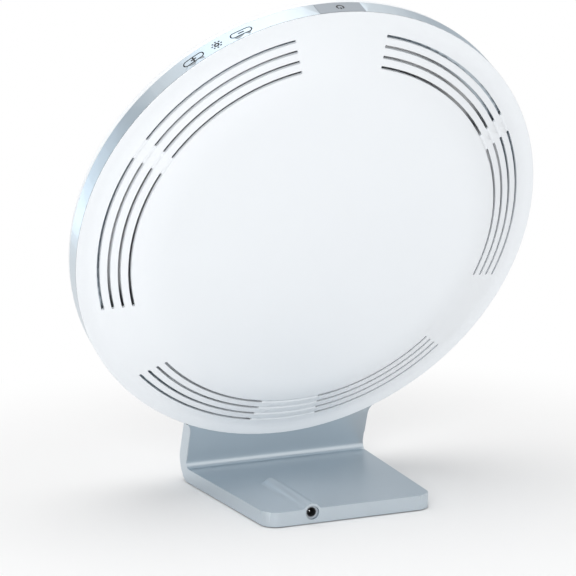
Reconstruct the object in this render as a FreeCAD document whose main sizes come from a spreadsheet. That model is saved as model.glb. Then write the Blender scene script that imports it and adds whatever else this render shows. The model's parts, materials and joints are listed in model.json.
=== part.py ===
"""Light therapy lamp: a round leaning lamp head on a one-piece L-shaped stand.

The row frame has +Z up and +Y to the rear, with its origin on the table under the middle of
the lamp. Head pieces are drawn about the head's own axis: X across the lamp, Y up the leaning
disc and Z out of its front, from the seam between the rear cover and the silver band.
"""
import FreeCAD, Part
import Sketcher
import math
import os
import re

X_AXIS = FreeCAD.Vector(1, 0, 0)
Y_AXIS = FreeCAD.Vector(0, 1, 0)
Z_AXIS = FreeCAD.Vector(0, 0, 1)

doc = FreeCAD.newDocument("light_therapy_lamp")
sizes = doc.addObject("Spreadsheet::Sheet", "Sizes")
places = doc.addObject("Spreadsheet::Sheet", "Places")
owners = {}
nodes = []


def place(alias, formula, note):
    """Write one worked-out place, a formula of driving dimensions."""
    row = len(owners) + 1
    places.set(f"A{row}", note)
    places.set(f"B{row}", "=" + fx(formula))
    places.setAlias(f"B{row}", alias)
    owners[alias] = "Places."


def fx(text):
    """Point each size word of a formula at the sheet that holds it."""
    return re.sub(r"[A-Za-z_]\w*", lambda word: owners.get(word.group(), "") + word.group(), str(text))


def num(text):
    """Give the present value of a formula."""
    return float(sizes.evalExpression(fx(text)))


def bind(obj, **formulas):
    """Bind properties to formulas; a double underscore in a name stands for a dot."""
    for name, formula in formulas.items():
        obj.setExpression(name.replace("__", "."), fx(formula))
    return obj


# Driving dimensions, in millimetres or degrees
SIZES = {
    # The head
    "head_radius": 175,  # radius of the silver band and of the rear cover's edge
    "lean": 21.58,  # lean of the head and the stand's wall from upright, degrees
    "wall_length": 23.085,  # length of the wall between the head's edge and the crease
    "band_width": 14.1,  # width of the silver band along the head's axis
    "band_wall": 2.4,  # wall of the silver band
    "flange_width": 23,  # width of the frame's mounting flange, from the head's edge
    "flange_back": 1.0,  # back of the thick part of the flange
    "flange_front": 4.0,  # front of the flange, where the chassis plate lies
    "flange_thin_width": 10,  # width of the flange's thin part, from the head's edge
    "flange_thin": 1.7,  # thickness of the thin outer part of the flange
    "lip_gap": 0.3,  # gap between a cover's lip and the band
    # The rear cover
    "cover_wall": 2.2,  # wall of the rear cover
    "rim_depth": 0.95,  # depth of the rear cover's flat rim
    "rim_round": 0.6,  # rounding of the rear cover's edge
    "seam_gap": 0.3,  # width of the seam between the rear cover and the band
    "seam_depth": 0.8,  # depth of that seam
    "rim_width": 8.84,  # width of the rear cover's flat rim
    "cone_angle": 20.8,  # slope of the cover's cone, degrees
    "rim_blend": 20,  # blend between the rim and the cone
    "crown_blend": 60,  # blend between the cone and the crown
    "crown_depth": 15.9,  # depth of the cover's flat crown behind the seam
    "cover_lip": 1.6,  # length of the cover's lip inside the band
    "cover_lip_inset": 4.7,  # inner face of the cover's lip, from the head's edge
    "slot_inset": 15.4,  # outermost ring of air slots, from the head's edge
    "slot_pitch": 6.84,  # step from one ring of slots to the next
    "slot_rings": 4,  # rings of slots
    "slot_width": 2.1,  # width of an air slot
    "slot_top": 12.5,  # first slot's start from twelve o'clock, degrees
    "side_break": 60.05,  # middle of the break in the side slots, degrees
    "side_break_half": 3.05,  # half of the break in the side slots, degrees
    "side_end": 107.8,  # end of the side slots, degrees
    "bottom_start": 132.6,  # start of the bottom slots, degrees
    "bottom_break_half": 9.3,  # half of the break in the bottom slots, degrees
    "blind_depth": 0.5,  # depth of the blind grooves across the breaks
    # The diffuser, reflector, chassis plate and light board
    "diffuser_round": 13.9,  # rounding of the diffuser's edge
    "diffuser_wall": 2.5,  # wall of the diffuser
    "diffuser_lip": 3.8,  # length of the diffuser's lip inside the band
    "diffuser_lip_inset": 5,  # inner face of the diffuser's lip, from the head's edge
    "chassis_inset": 10.5,  # edge of the chassis plate, from the head's edge
    "chassis_thick": 1.5,  # thickness of the chassis plate
    "board_inset": 25,  # edge of the light board, from the head's edge
    "board_thick": 1.6,  # thickness of every circuit board
    "led_length": 3.5,  # length of a light-emitting diode
    "led_width": 2.8,  # width of a light-emitting diode
    "led_height": 0.8,  # height of a light-emitting diode
    "led_margin": 7,  # outermost ring of diodes, from the light board's edge
    "led_step": 6,  # diodes that each ring adds
    "led_rings": 5,  # rings of diodes
    "led_first": 31,  # radius of the innermost ring of diodes
    "light_lead_hole_radius": 4,  # radius of the hole for the light board's lead
    "reflector_foot_inset": 27,  # reflector ring's foot, from the head's edge
    "reflector_top_inset": 11.7,  # reflector ring's front edge, from the head's edge
    "reflector_front": 17.9,  # distance of the reflector's front edge from the seam
    "reflector_wall": 1.2,  # wall of the reflector ring
    "chassis_screw_inset": 17,  # ring of chassis screws, from the head's edge
    "chassis_screw_count": 12,  # chassis screws
    # The keys and their switches
    "key_travel": 0.5,  # travel of every key
    "key_gap": 0.3,  # gap round the power key, and round every key's ears
    "small_key_gap": 0.5,  # gap round the plus and minus keys
    "key_thick": 1.7,  # thickness of a key's cap
    "power_key_half": 17.1,  # half length of the power key along the band
    "power_key_axial": 7.05,  # middle of the power key across the band
    "small_key_length": 17.1,  # length of the plus or minus key's opening
    "small_key_width": 6.2,  # width of the plus or minus key's opening
    "small_key_axial": 6.7,  # middle of the small keys across the band
    "level_angle": 59.9,  # angle of the level key board from the side, degrees
    "level_spread": 6.1,  # angle from the board's middle to each small key, degrees
    "key_board_inset": 8.7,  # key boards' back, from the head's edge
    "power_board_half": 15,  # half length of the power key's board
    "level_board_half": 25,  # half length of the small keys' board
    "key_board_front": 13.4,  # front edge of the key boards
    "switch_side": 5.2,  # side of a switch housing
    "switch_height": 2.8,  # height of a switch housing
    "plunger_radius": 1.5,  # radius of a switch plunger
    "plunger_gap": 0.08,  # radial gap of a plunger in its housing
    "plunger_proud": 0.8,  # height of a plunger above its housing
    "plunger_inside": 0.9,  # length of a plunger inside its housing
    "plunger_floor": 0.1,  # gap under a pressed plunger
    "stem_radius": 1.4,  # radius of a key's stem
    "stem_gap": 0.15,  # gap between a key's stem and its plunger
    "ear_length": 1.5,  # reach of a key's ear under the band
    "ear_half": 1.5,  # half width of a key's ear
    "ear_thick": 0.6,  # thickness of a key's ear
    "ear_post": 1.2,  # length of the post between a key and its ear
    # The stand
    "stand_half": 71.5,  # half width of the stand's wall
    "rear_half": 63.6,  # half width of the base at its rear edge
    "base_reach": 143.3,  # length of the base from the crease to its rear edge
    "base_thickness": 10.3,  # thickness of the base
    "foot_proud": 0.8,  # height of the base above the table
    "crease_round": 4,  # rounding of the crease between wall and base
    "bend_round": 16,  # rounding of the bend under the crease
    "corner_round": 12,  # rounding of the base's rear corners
    "neck": 14,  # height along the wall where the bend's piece ends
    "flare_round": 11,  # flare between the wall and the band
    "skin": 2.2,  # wall of the stand's shell
    "cover_gap": 0.2,  # gap round the stand's cover
    "stand_cover_thick": 2.2,  # thickness of the stand's cover
    "passage_half": 36,  # half width of the passage from the wall into the head
    "passage_below": 4,  # reach of that passage below the head's edge
    "passage_height": 11,  # height of that passage
    "passage_lap": 0.3,  # lap of that passage over the wall's hollow
    "lead_notch_left": 9,  # reach of the flange's notch for the power lead, to one side
    "lead_notch_right": 6,  # reach of that notch to the other side
    "lead_notch_rim": 3.5,  # rim left between that notch and the band
    "key_notch": 6,  # depth of the flange's notch for the key lead
    "foot_radius": 6,  # radius of a rubber foot
    "foot_sunk": 1.2,  # depth of a rubber foot's recess
    "foot_inset": 16,  # distance of a rubber foot from the base's edges
    "front_foot": 14,  # distance of the front feet behind the crease
    # The power inlet and its hump
    "inlet_x": 29.5,  # power inlet's distance from the middle
    "inlet_z": 8.4,  # power inlet's height above the table
    "inlet_recess": 5.05,  # radius of the recess round the power inlet
    "hump_radius": 6.6,  # radius of the hump over the power inlet
    "hump_fillet": 4,  # fillet between the hump and the base
    "hump_length": 76,  # length of the hump's straight part from the rear edge
    "hump_wall": 1.2,  # wall of the hump
    "hump_hollow": 68,  # length of the hollow under the hump
    "jack_radius": 4.9,  # radius of the inlet's housing
    "jack_bore": 3.05,  # radius of the inlet's socket
    "jack_sleeve_wall": 0.35,  # wall of the inlet's metal sleeve
    "jack_sunk": 2.0,  # depth of the inlet's face behind the rear edge
    "jack_length": 13,  # length of the inlet's housing
    "jack_depth": 9.5,  # depth of the inlet's socket
    "jack_pin": 1.0,  # radius of the inlet's centre pin
    "jack_pin_sunk": 3.0,  # depth of the pin's tip in the socket
    "lead_radius": 1.1,  # radius of the inner lead
    # The parts inside the stand and on the chassis plate
    "ballast_thick": 4,  # thickness of the steel weight
    "ballast_left": 46,  # reach of the weight away from the lead
    "ballast_right": 20,  # reach of the weight towards the lead
    "ballast_front": 14,  # distance of the weight behind the crease
    "ballast_length": 104,  # length of the weight
    "bracket_thick": 1.5,  # thickness of the steel bracket
    "bracket_depth": 5.5,  # depth of the bracket behind the wall's rear face
    "bracket_half": 22,  # half width of the bracket
    "bracket_foot": 96,  # length of the bracket's foot behind the crease
    "bracket_overlap": 11,  # overlap of the bracket on the chassis plate
    "driver_length": 90,  # length of the driver board
    "driver_height": 60,  # height of the driver board
    "driver_inset": 95,  # driver board's middle, from the head's edge
    "spacer_length": 4.8,  # length of a driver board spacer
    "spacer_radius": 3,  # radius of a driver board spacer
    "screw_radius": 1.25,  # radius of a screw's shank
    "screw_head": 2.6,  # radius of a screw's head
    "screw_head_height": 1.3,  # height of a screw's head
    "screw_gap": 0.05,  # gap round a screw's shank
    "screw_end_gap": 0.2,  # gap past a screw's end, and round its sunk head
    "flange_skin": 0.4,  # floor under a screw hole in the flange
    "bracket_screw_x": 12,  # bracket screws' distance from the middle
    "bracket_screw_inset": 16,  # bracket screws, from the head's edge
    "bracket_screw_length": 5,  # length of a bracket screw below its head
    "bracket_round": 9.2,  # inner rounding of the bracket's bend
    "chassis_screw_length": 4,  # length of a chassis screw below its head
    "driver_screw_inset": 5,  # distance of the driver board's screws from its edges
    "driver_screw_length": 4.6,  # length of a driver board screw above its head
    "spacer_bore": 3.4,  # depth of a spacer's bore
    "inductor_radius": 6,  # radius of the driver's inductor
    "inductor_height": 7,  # height of the driver's inductor
    "capacitor_radius": 4,  # radius of a capacitor
    "capacitor_height": 9,  # height of a capacitor
    "chip_side": 6,  # side of the driver chip
    "chip_height": 1.6,  # height of the driver chip
    "header_x": 20,  # power header's distance from the middle
    "header_inset": 1,  # power header's edge, from the driver board's edge
    "header_width": 8,  # width of the power header
    "header_depth": 7,  # depth of the power header
    "header_height": 6,  # height of the power header
    "jack_board_half": 4.6,  # half width of the inlet's board
    "jack_board_above": 2.2,  # reach of the inlet's board above the inlet's middle
    "key_lead_half": 2.5,  # half width of the hole for the key lead
    "key_hole_inset": 19,  # key lead's hole, from the head's edge
    "key_lead_radius": 0.9,  # radius of the key lead
    "key_lead_depth": 2.4,  # place of the key lead behind the chassis plate
    "lead_z": 7.4,  # height of the power lead in the base
    "lead_wall_depth": 3.6,  # depth of the power lead in the wall
    "lead_bend": 7,  # cut of the power lead's corner at the crease
    "clip_half": 3,  # half width of a lead clip
    "clip_gap": 0.05,  # gap round the lead in a clip
    "clip_length": 6,  # length of a lead clip
    "clip_rear": 34,  # rear clip's distance ahead of the rear edge
    "clip_front": 26,  # front clip's distance behind the crease
    "post_radius": 3.5,  # radius of a screw post in the base
    "post_x": 54,  # distance of the screw posts from the middle
    "post_near": 32,  # distance of the front posts behind the crease
    "post_inset": 34,  # distance of the rear posts ahead of the rear edge
    "weight_screw_left": 36,  # weight screws' distance from the middle, away from the lead
    "weight_screw_right": 12,  # weight screws' distance from the middle, towards the lead
    "weight_screw_near": 30,  # near weight screws' distance behind the crease
    "weight_screw_far": 88,  # far weight screws' distance behind the crease
    "base_screw_sunk": 0.9,  # floor left over a base screw's head
    "base_screw_length": 6,  # length of a base screw above its head
    # The drawing
    "poke": 1,  # reach of a cutting tool past the piece that it cuts
}
for row, (alias, value) in enumerate(SIZES.items(), 1):
    sizes.set(f"A{row}", alias.replace("_", " "))
    sizes.set(f"B{row}", str(value))
    sizes.setAlias(f"B{row}", alias)
    owners[alias] = "Sizes."

# Places worked out from the driving dimensions
place("base_top", "foot_proud + base_thickness", "height of the base's top")
place("crease_u", "head_radius + wall_length", "distance down the head from its centre to the crease")
place("head_height", "base_top + crease_u*cos(lean)", "height of the head's centre above the table")
place("head_ahead", "crease_u*sin(lean)", "head's centre behind the crease")
place("front_reach",
      "(head_radius - diffuser_round)*sin(lean) + band_width*cos(lean) + diffuser_round - head_ahead",
      "reach of the diffuser in front of the crease")
place("crease_y", "(front_reach - base_reach)/2", "the crease, so that the lamp's middle is at y = 0")
place("head_y", "crease_y + head_ahead", "the head's centre")
place("rear_y", "crease_y + base_reach", "the base's rear edge")
place("band_inner", "head_radius - band_wall", "inner radius of the band")
place("flare_x", "stand_half + flare_round", "middle of the flare's arc, across")
place("flare_u", "sqrt((head_radius + flare_round)^2 - flare_x^2)", "middle of the flare's arc, down")
place("chassis_front", "flange_front + chassis_thick", "front of the chassis plate")
for alias, inset, note in (
    ("flange_inner", "flange_width", "inner radius of the mounting flange"),
    ("flange_step", "flange_thin_width", "radius where the flange gets thinner"),
    ("cone_start", "rim_width", "radius where the rear cover's cone leaves its rim"),
    ("cover_lip_inner", "cover_lip_inset", "inner radius of the rear cover's lip"),
    ("slot_radius", "slot_inset", "radius of the outermost ring of air slots"),
    ("diffuser_lip_inner", "diffuser_lip_inset", "inner radius of the diffuser's lip"),
    ("chassis_radius", "chassis_inset", "radius of the chassis plate"),
    ("board_radius", "board_inset", "radius of the light board"),
    ("reflector_foot", "reflector_foot_inset", "radius of the reflector ring's foot"),
    ("reflector_top", "reflector_top_inset", "radius of the reflector ring's front edge"),
    ("chassis_screw_circle", "chassis_screw_inset", "radius of the ring of chassis screws"),
    ("key_board_back", "key_board_inset", "distance of the key boards' back from the axis"),
    ("bracket_screw_circle", "bracket_screw_inset", "distance of the bracket screws below the axis"),
    ("key_lead_hole", "key_hole_inset", "distance of the key lead's hole above the axis"),
    ("driver_middle", "driver_inset", "distance of the driver board's middle below the axis"),
):
    place(alias, f"head_radius - {inset}", note)
place("header_y", "header_inset - driver_middle - driver_height/2", "power header's edge, from the axis")
place("led_pitch", "(board_radius - led_margin - led_first)/(led_rings - 1)", "step between rings of diodes")
place("board_front", "chassis_front + board_thick", "front of the light board")
place("key_back", "head_radius - key_thick", "back of a key's cap")
place("switch_foot", "key_board_back + board_thick", "front of the key boards")
place("plunger_top", "switch_foot + switch_height + plunger_proud", "top of a plunger")
place("floor_z", "foot_proud + stand_cover_thick", "top of the stand cover's floor")
place("driver_back", "flange_front - spacer_length - board_thick", "rear face of the driver board")
place("post_front_y", "crease_y + post_near", "front screw posts")
place("post_rear_y", "rear_y - post_inset", "rear screw posts")
place("screw_seat_z", "floor_z - base_screw_sunk", "top of a base screw's head")
place("screw_top_z", "screw_seat_z + base_screw_length + screw_end_gap", "top of a base screw's hole")
place("hump_side", "sqrt((hump_radius + hump_fillet)^2 - (base_top + hump_fillet - inlet_z)^2)",
      "half width of the hump at the base's top")
place("hump_share", "hump_radius/(hump_radius + hump_fillet)", "where the hump's crown meets its fillet")
place("hump_touch_z", "inlet_z + (base_top + hump_fillet - inlet_z)*hump_share", "height of that line")
place("taper", "atan((stand_half - rear_half)/base_reach)/(1 deg)", "angle of the base's sides")
doc.recompute()


def origin_plane(body, role):
    """Find one of a body's own origin planes."""
    return next(item for item in body.Origin.OriginFeatures if item.Role == role)


def new_body(name):
    """Add an empty body that may hold several separate solids."""
    body = doc.addObject("PartDesign::Body", name)
    body.AllowCompound = True
    return body


def arc_of(start, end, radius):
    """Give the arc from start to end that turns left for a positive radius, right for a negative one."""
    chord = end.sub(start)
    middle = start.add(end).multiply(0.5)
    rise = math.sqrt(max(radius**2 - (chord.Length / 2)**2, 0))
    left = FreeCAD.Vector(-chord.y, chord.x, 0).normalize()
    centre = middle.add(left.multiply(rise if radius > 0 else -rise))
    first, last = (start, end) if radius > 0 else (end, start)
    angles = [math.atan2(point.y - centre.y, point.x - centre.x) for point in (first, last)]
    if angles[1] <= angles[0]:
        angles[1] += 2 * math.pi
    circle = Part.Circle(centre, Z_AXIS, abs(radius))
    return Part.ArcOfCircle(circle, angles[0], angles[1])


def pin_point(sketch, index, end, x, y):
    """Hold one end of an edge at formulas of the sheet."""
    for kind, formula, axis in (("DistanceX", x, -2), ("DistanceY", y, -1)):
        if str(formula) == "0":
            sketch.addConstraint(Sketcher.Constraint("PointOnObject", index, end, axis))
            continue
        held = sketch.addConstraint(Sketcher.Constraint(kind, -1, 1, index, end, num(formula)))
        sketch.setExpression(f"Constraints[{held}]", fx(formula))


def draw_loop(sketch, path):
    """Draw one closed outline of lines and arcs, with every corner held by formulas.

    A corner is (x, y), or (x, y, radius) where an arc leads to it from the corner before.
    """
    corners = [FreeCAD.Vector(num(corner[0]), num(corner[1]), 0) for corner in path]
    ends = []
    for position, corner in enumerate(path):
        start = corners[position - 1]
        if len(corner) == 3:
            radius = num(corner[2])
            index = sketch.addGeometry(arc_of(start, corners[position], radius), False)
            ends.append((index, 1, 2) if radius > 0 else (index, 2, 1))
            held = sketch.addConstraint(Sketcher.Constraint("Radius", index, abs(radius)))
            sketch.setExpression(f"Constraints[{held}]", fx(f"abs({corner[2]})"))
        else:
            index = sketch.addGeometry(Part.LineSegment(start, corners[position]), False)
            ends.append((index, 1, 2))
    for position, corner in enumerate(path):
        index, _, finish = ends[position]
        follower, begin, _ = ends[(position + 1) % len(path)]
        sketch.addConstraint(Sketcher.Constraint("Coincident", index, finish, follower, begin))
        pin_point(sketch, index, finish, corner[0], corner[1])


def outline(body, role, loops, offset="0", turn=None):
    """Draw outlines on one of the body's own planes, moved along its normal or turned about V."""
    sketch = body.newObject("Sketcher::SketchObject", body.Name + "_sketch")
    sketch.AttachmentSupport = [(origin_plane(body, role), "")]
    sketch.MapMode = "FlatFace"
    if turn is not None:
        sketch.AttachmentOffset = FreeCAD.Placement(FreeCAD.Vector(), FreeCAD.Rotation(Y_AXIS, 45))
        bind(sketch, AttachmentOffset__Rotation__Angle=turn)
    if str(offset) != "0":
        bind(sketch, AttachmentOffset__Base__z=offset)
    for loop in loops:
        draw_loop(sketch, loop)
    return sketch


def turned(name, path):
    """Turn an outline of (radius, height) about the Z axis."""
    body = new_body(name)
    turn = body.newObject("PartDesign::Revolution", name + "_turn")
    turn.Profile = outline(body, "XZ_Plane", [path])
    turn.ReferenceAxis = (turn.Profile[0], ["V_Axis"])
    turn.Angle = 360
    return body


def prism(name, role, path, start, length):
    """Raise an outline from a place on the plane's normal, over a length."""
    body = new_body(name)
    pad = body.newObject("PartDesign::Pad", name + "_pad")
    pad.Profile = outline(body, role, [path], start)
    bind(pad, Length=length)
    return body


def block(name, low, span):
    """Make a box from its lowest corner and its three lengths."""
    box = doc.addObject("Part::Box", name)
    bind(box, Length=span[0], Width=span[1], Height=span[2])
    return bind(box, Placement__Base__x=low[0], Placement__Base__y=low[1], Placement__Base__z=low[2])


def rod(name, radius, length, foot, along="Z"):
    """Make a round rod from its foot along one axis."""
    cylinder = doc.addObject("Part::Cylinder", name)
    turns = {"X": FreeCAD.Rotation(Y_AXIS, 90), "Y": FreeCAD.Rotation(X_AXIS, -90), "Z": FreeCAD.Rotation()}
    cylinder.Placement = FreeCAD.Placement(FreeCAD.Vector(), turns[along])
    bind(cylinder, Radius=radius, Height=length)
    return bind(cylinder, Placement__Base__x=foot[0], Placement__Base__y=foot[1], Placement__Base__z=foot[2])


def join(name, *pieces):
    """Fuse pieces into one solid."""
    fusion = doc.addObject("Part::MultiFuse", name)
    fusion.Shapes = list(pieces)
    fusion.Refine = True
    return fusion


def shared(name, *pieces):
    """Keep what all the pieces have in common."""
    common = doc.addObject("Part::MultiCommon", name)
    common.Shapes = list(pieces)
    common.Refine = True
    return common


def less(name, base, *tools):
    """Cut tools out of a base."""
    cut = doc.addObject("Part::Cut", name)
    cut.Base = base
    cut.Tool = tools[0] if len(tools) == 1 else group(name + "_tools", *tools)
    cut.Refine = True
    return cut


def group(name, *pieces):
    """Gather separate pieces without joining them."""
    compound = doc.addObject("Part::Compound", name)
    compound.Links = list(pieces)
    return compound


def turn_about_head(obj, angle):
    """Turn an object about the head's axis; zero degrees is the lamp's +X side."""
    obj.Placement = FreeCAD.Placement(FreeCAD.Vector(), FreeCAD.Rotation(Z_AXIS, 30))
    return bind(obj, Placement__Rotation__Angle=angle)


def on_head(obj):
    """Give an object drawn about the head's axis its leaning place on the stand."""
    obj.Placement = FreeCAD.Placement(FreeCAD.Vector(), FreeCAD.Rotation(X_AXIS, 68))
    bind(obj, Placement__Rotation__Angle="90 - lean", Placement__Base__y="head_y")
    return bind(obj, Placement__Base__z="head_height")


def node(obj, label):
    """Name a finished sub-part."""
    obj.Label = label
    nodes.append(obj)
    return obj


def ring_of(name, piece, count, radius):
    """Repeat a piece round the head's axis, from a count and a radius of the sheet."""
    copies = []
    for step in range(int(num(count))):
        link = doc.addObject("Part::Compound", f"{name}_{step}")
        link.Links = [piece]
        angle = f"360*({step} + 0.5)/{count}"
        link.Placement = FreeCAD.Placement(FreeCAD.Vector(), FreeCAD.Rotation(Z_AXIS, 30))
        bind(link, Placement__Rotation__Angle=angle)
        bind(link, Placement__Base__x=f"{radius}*cos({angle})", Placement__Base__y=f"{radius}*sin({angle})")
        copies.append(link)
    return group(name, *copies)


# The stand's bent section, in the plane of Y and Z
def bent_corner(depth, height):
    """Give the corner where a line at a depth in front of the wall's rear face meets a height."""
    along = f"((({height}) - base_top - ({depth})*sin(lean))/cos(lean))"
    return f"crease_y + {along}*sin(lean) - ({depth})*cos(lean)", height


def wall_point(along, depth):
    """Give a point of the wall from its distance up from the crease and its depth."""
    return (f"crease_y + ({along})*sin(lean) - ({depth})*cos(lean)",
            f"base_top + ({along})*cos(lean) + ({depth})*sin(lean)")


def bent_strip(name, inner, outer, rounds, rear, half):
    """Make an L-shaped strip between an inner and an outer (depth, height), over a half width."""
    bend = "tan((90 + lean)/2)"
    (inner_y, inner_z), (outer_y, outer_z) = bent_corner(*inner), bent_corner(*outer)
    small, large = (f"({value})*{bend}" for value in rounds)
    path = [
        (rear, outer_z),
        (rear, inner_z),
        (f"{inner_y} + {small}", inner_z),
        (f"{inner_y} + {small}*sin(lean)", f"{inner_z} + {small}*cos(lean)", f"-({rounds[0]})"),
        wall_point("neck", inner[0]),
        wall_point("neck", outer[0]),
        (f"{outer_y} + {large}*sin(lean)", f"{outer_z} + {large}*cos(lean)"),
        (f"{outer_y} + {large}", outer_z, rounds[1]),
    ]
    return prism(name, "YZ_Plane", path, f"-({half})", f"2*({half})")


def base_plan(name, inset):
    """Make the base's plan as a tall prism: tapered sides and rounded rear corners."""
    corner = f"(corner_round - ({inset}))"
    reach = f"{corner}*tan((90 - taper)/2)"
    side = f"(stand_half - ({inset}))"
    rear_side = f"(rear_half - ({inset}))"
    rear = f"(rear_y - ({inset}))"
    ahead = "(crease_y - 40)"
    path = [
        (f"-{side}", ahead),
        (side, ahead),
        (side, "crease_y"),
        (f"{rear_side} + {reach}*sin(taper)", f"{rear} - {reach}*cos(taper)"),
        (f"{rear_side} - {reach}", rear, corner),
        (f"-{rear_side} + {reach}", rear),
        (f"-{rear_side} - {reach}*sin(taper)", f"{rear} - {reach}*cos(taper)", corner),
        (f"-{side}", "crease_y"),
    ]
    return prism(name, "XY_Plane", path, "-20", "80")


def wall_slab(name, inset, top, start, length):
    """Make the wall above its neck, with its flares, up to a circle of the head."""
    side = f"(stand_half - ({inset}))"
    flare = f"(flare_round + ({inset}))"
    reach = "(head_radius + flare_round)"
    foot = "(neck - crease_u)"
    if inset == "0":
        flare_end = [("flare_x*head_radius/" + reach, "flare_u*head_radius/" + reach),
                     (f"flare_x*({top})/{reach}", f"flare_u*({top})/{reach}")]
    else:
        swing = f"acos(({reach}^2 + ({top})^2 - {flare}^2)/(2*{reach}*({top})))"
        angle = f"(atan(flare_x/flare_u) - {swing})"
        flare_end = [(f"({top})*sin({angle})", f"({top})*cos({angle})")]
    right = [(x, f"-{down}") for x, down in flare_end]
    left = [(f"-{x}", f"-{down}") for x, down in reversed(flare_end)]
    right[0] += (f"-{flare}",)
    left[0] += (f"-({top})",)
    path = [(f"-{side}", foot), (side, foot), (side, "-flare_u")] + right + left
    path.append((f"-{side}", "-flare_u", f"-{flare}"))
    return on_head(prism(name, "XY_Plane", path, start, length))


def key_prism(name, half, width, axial):
    """Make a stadium that points out of the head along X, as wide as a key."""
    straight = f"(({half}) - ({width})/2)"
    low = f"({axial}) - ({width})/2"
    high = f"({axial}) + ({width})/2"
    path = [
        (straight, low),
        (straight, high, f"({width})*0.501"),
        (f"-{straight}", high),
        (f"-{straight}", low, f"({width})*0.501"),
    ]
    return prism(name, "YZ_Plane", path, "band_inner - 10", "20")


def tube(name, inner, outer, low, high):
    """Make a ring round the head's axis between two radii and two heights."""
    return turned(name, [(outer, low), (outer, high), (inner, high), (inner, low)])


def face_of(name, half, low, high):
    """Make a box that points out of the head along X, between two heights."""
    return block(name, ("band_inner - 10", f"-({half})", low), ("20", f"2*({half})", f"({high}) - ({low})"))


def uprights(name, radius, low, high, spots):
    """Make one round upright at each (x, y) of a list."""
    return [rod(f"{name}_{index}", radius, f"({high}) - ({low})", (x, y, low))
            for index, (x, y) in enumerate(spots)]


# Where the screws stand
POST_SPOTS = [("-post_x", "post_front_y"), ("post_x", "post_front_y"),
              ("-post_x", "post_rear_y"), ("post_x", "post_rear_y")]
WEIGHT_SPOTS = [(x, y) for x in ("-weight_screw_left", "weight_screw_right")
                for y in ("crease_y + weight_screw_near", "crease_y + weight_screw_far")]
BRACKET_SPOTS = [(x, "-bracket_screw_circle") for x in ("-bracket_screw_x", "bracket_screw_x")]
DRIVER_SPOTS = [(f"{x}*(driver_length/2 - driver_screw_inset)",
                 f"{y}*(driver_height/2 - driver_screw_inset) - driver_middle")
                for x in (-1, 1) for y in (-1, 1)]
FOOT_SPOTS = [(f"{sign}({half} - foot_inset)", y) for sign in "-+"
              for half, y in (("stand_half", "crease_y + front_foot"), ("rear_half", "rear_y - foot_inset"))]
LOOSE = "screw_radius + screw_gap"


# The silver frame: band, flange, wall and base
def frame_ring():
    """Turn the band with its inner flange."""
    return turned("frame_ring", [
        ("band_inner", "0"),
        ("head_radius", "0"),
        ("head_radius", "band_width"),
        ("band_inner", "band_width"),
        ("band_inner", "flange_front"),
        ("flange_inner", "flange_front"),
        ("flange_inner", "flange_back"),
        ("flange_step", "flange_back"),
        ("flange_step", "flange_front - flange_thin"),
        ("band_inner", "flange_front - flange_thin"),
    ])


def hump():
    """Make the ridge over the power inlet: a straight part and a rounded far end."""
    sunk = "(base_top - skin/2)"
    touch = "(hump_side*hump_share)"
    straight = prism("hump_straight", "XZ_Plane", [
        ("inlet_x - hump_side", sunk),
        ("inlet_x + hump_side", sunk),
        ("inlet_x + hump_side", "base_top"),
        (f"inlet_x + {touch}", "hump_touch_z", "-hump_fillet"),
        (f"inlet_x - {touch}", "hump_touch_z", "hump_radius"),
        ("inlet_x - hump_side", "base_top", "-hump_fillet"),
    ], "-rear_y", "hump_length")
    end = turned("hump_end", [
        ("0", sunk),
        ("hump_side", sunk),
        ("hump_side", "base_top"),
        (touch, "hump_touch_z", "-hump_fillet"),
        ("0", "inlet_z + hump_radius", "hump_radius"),
    ])
    bind(end, Placement__Base__x="inlet_x", Placement__Base__y="rear_y - hump_length")
    return straight, end


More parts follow.
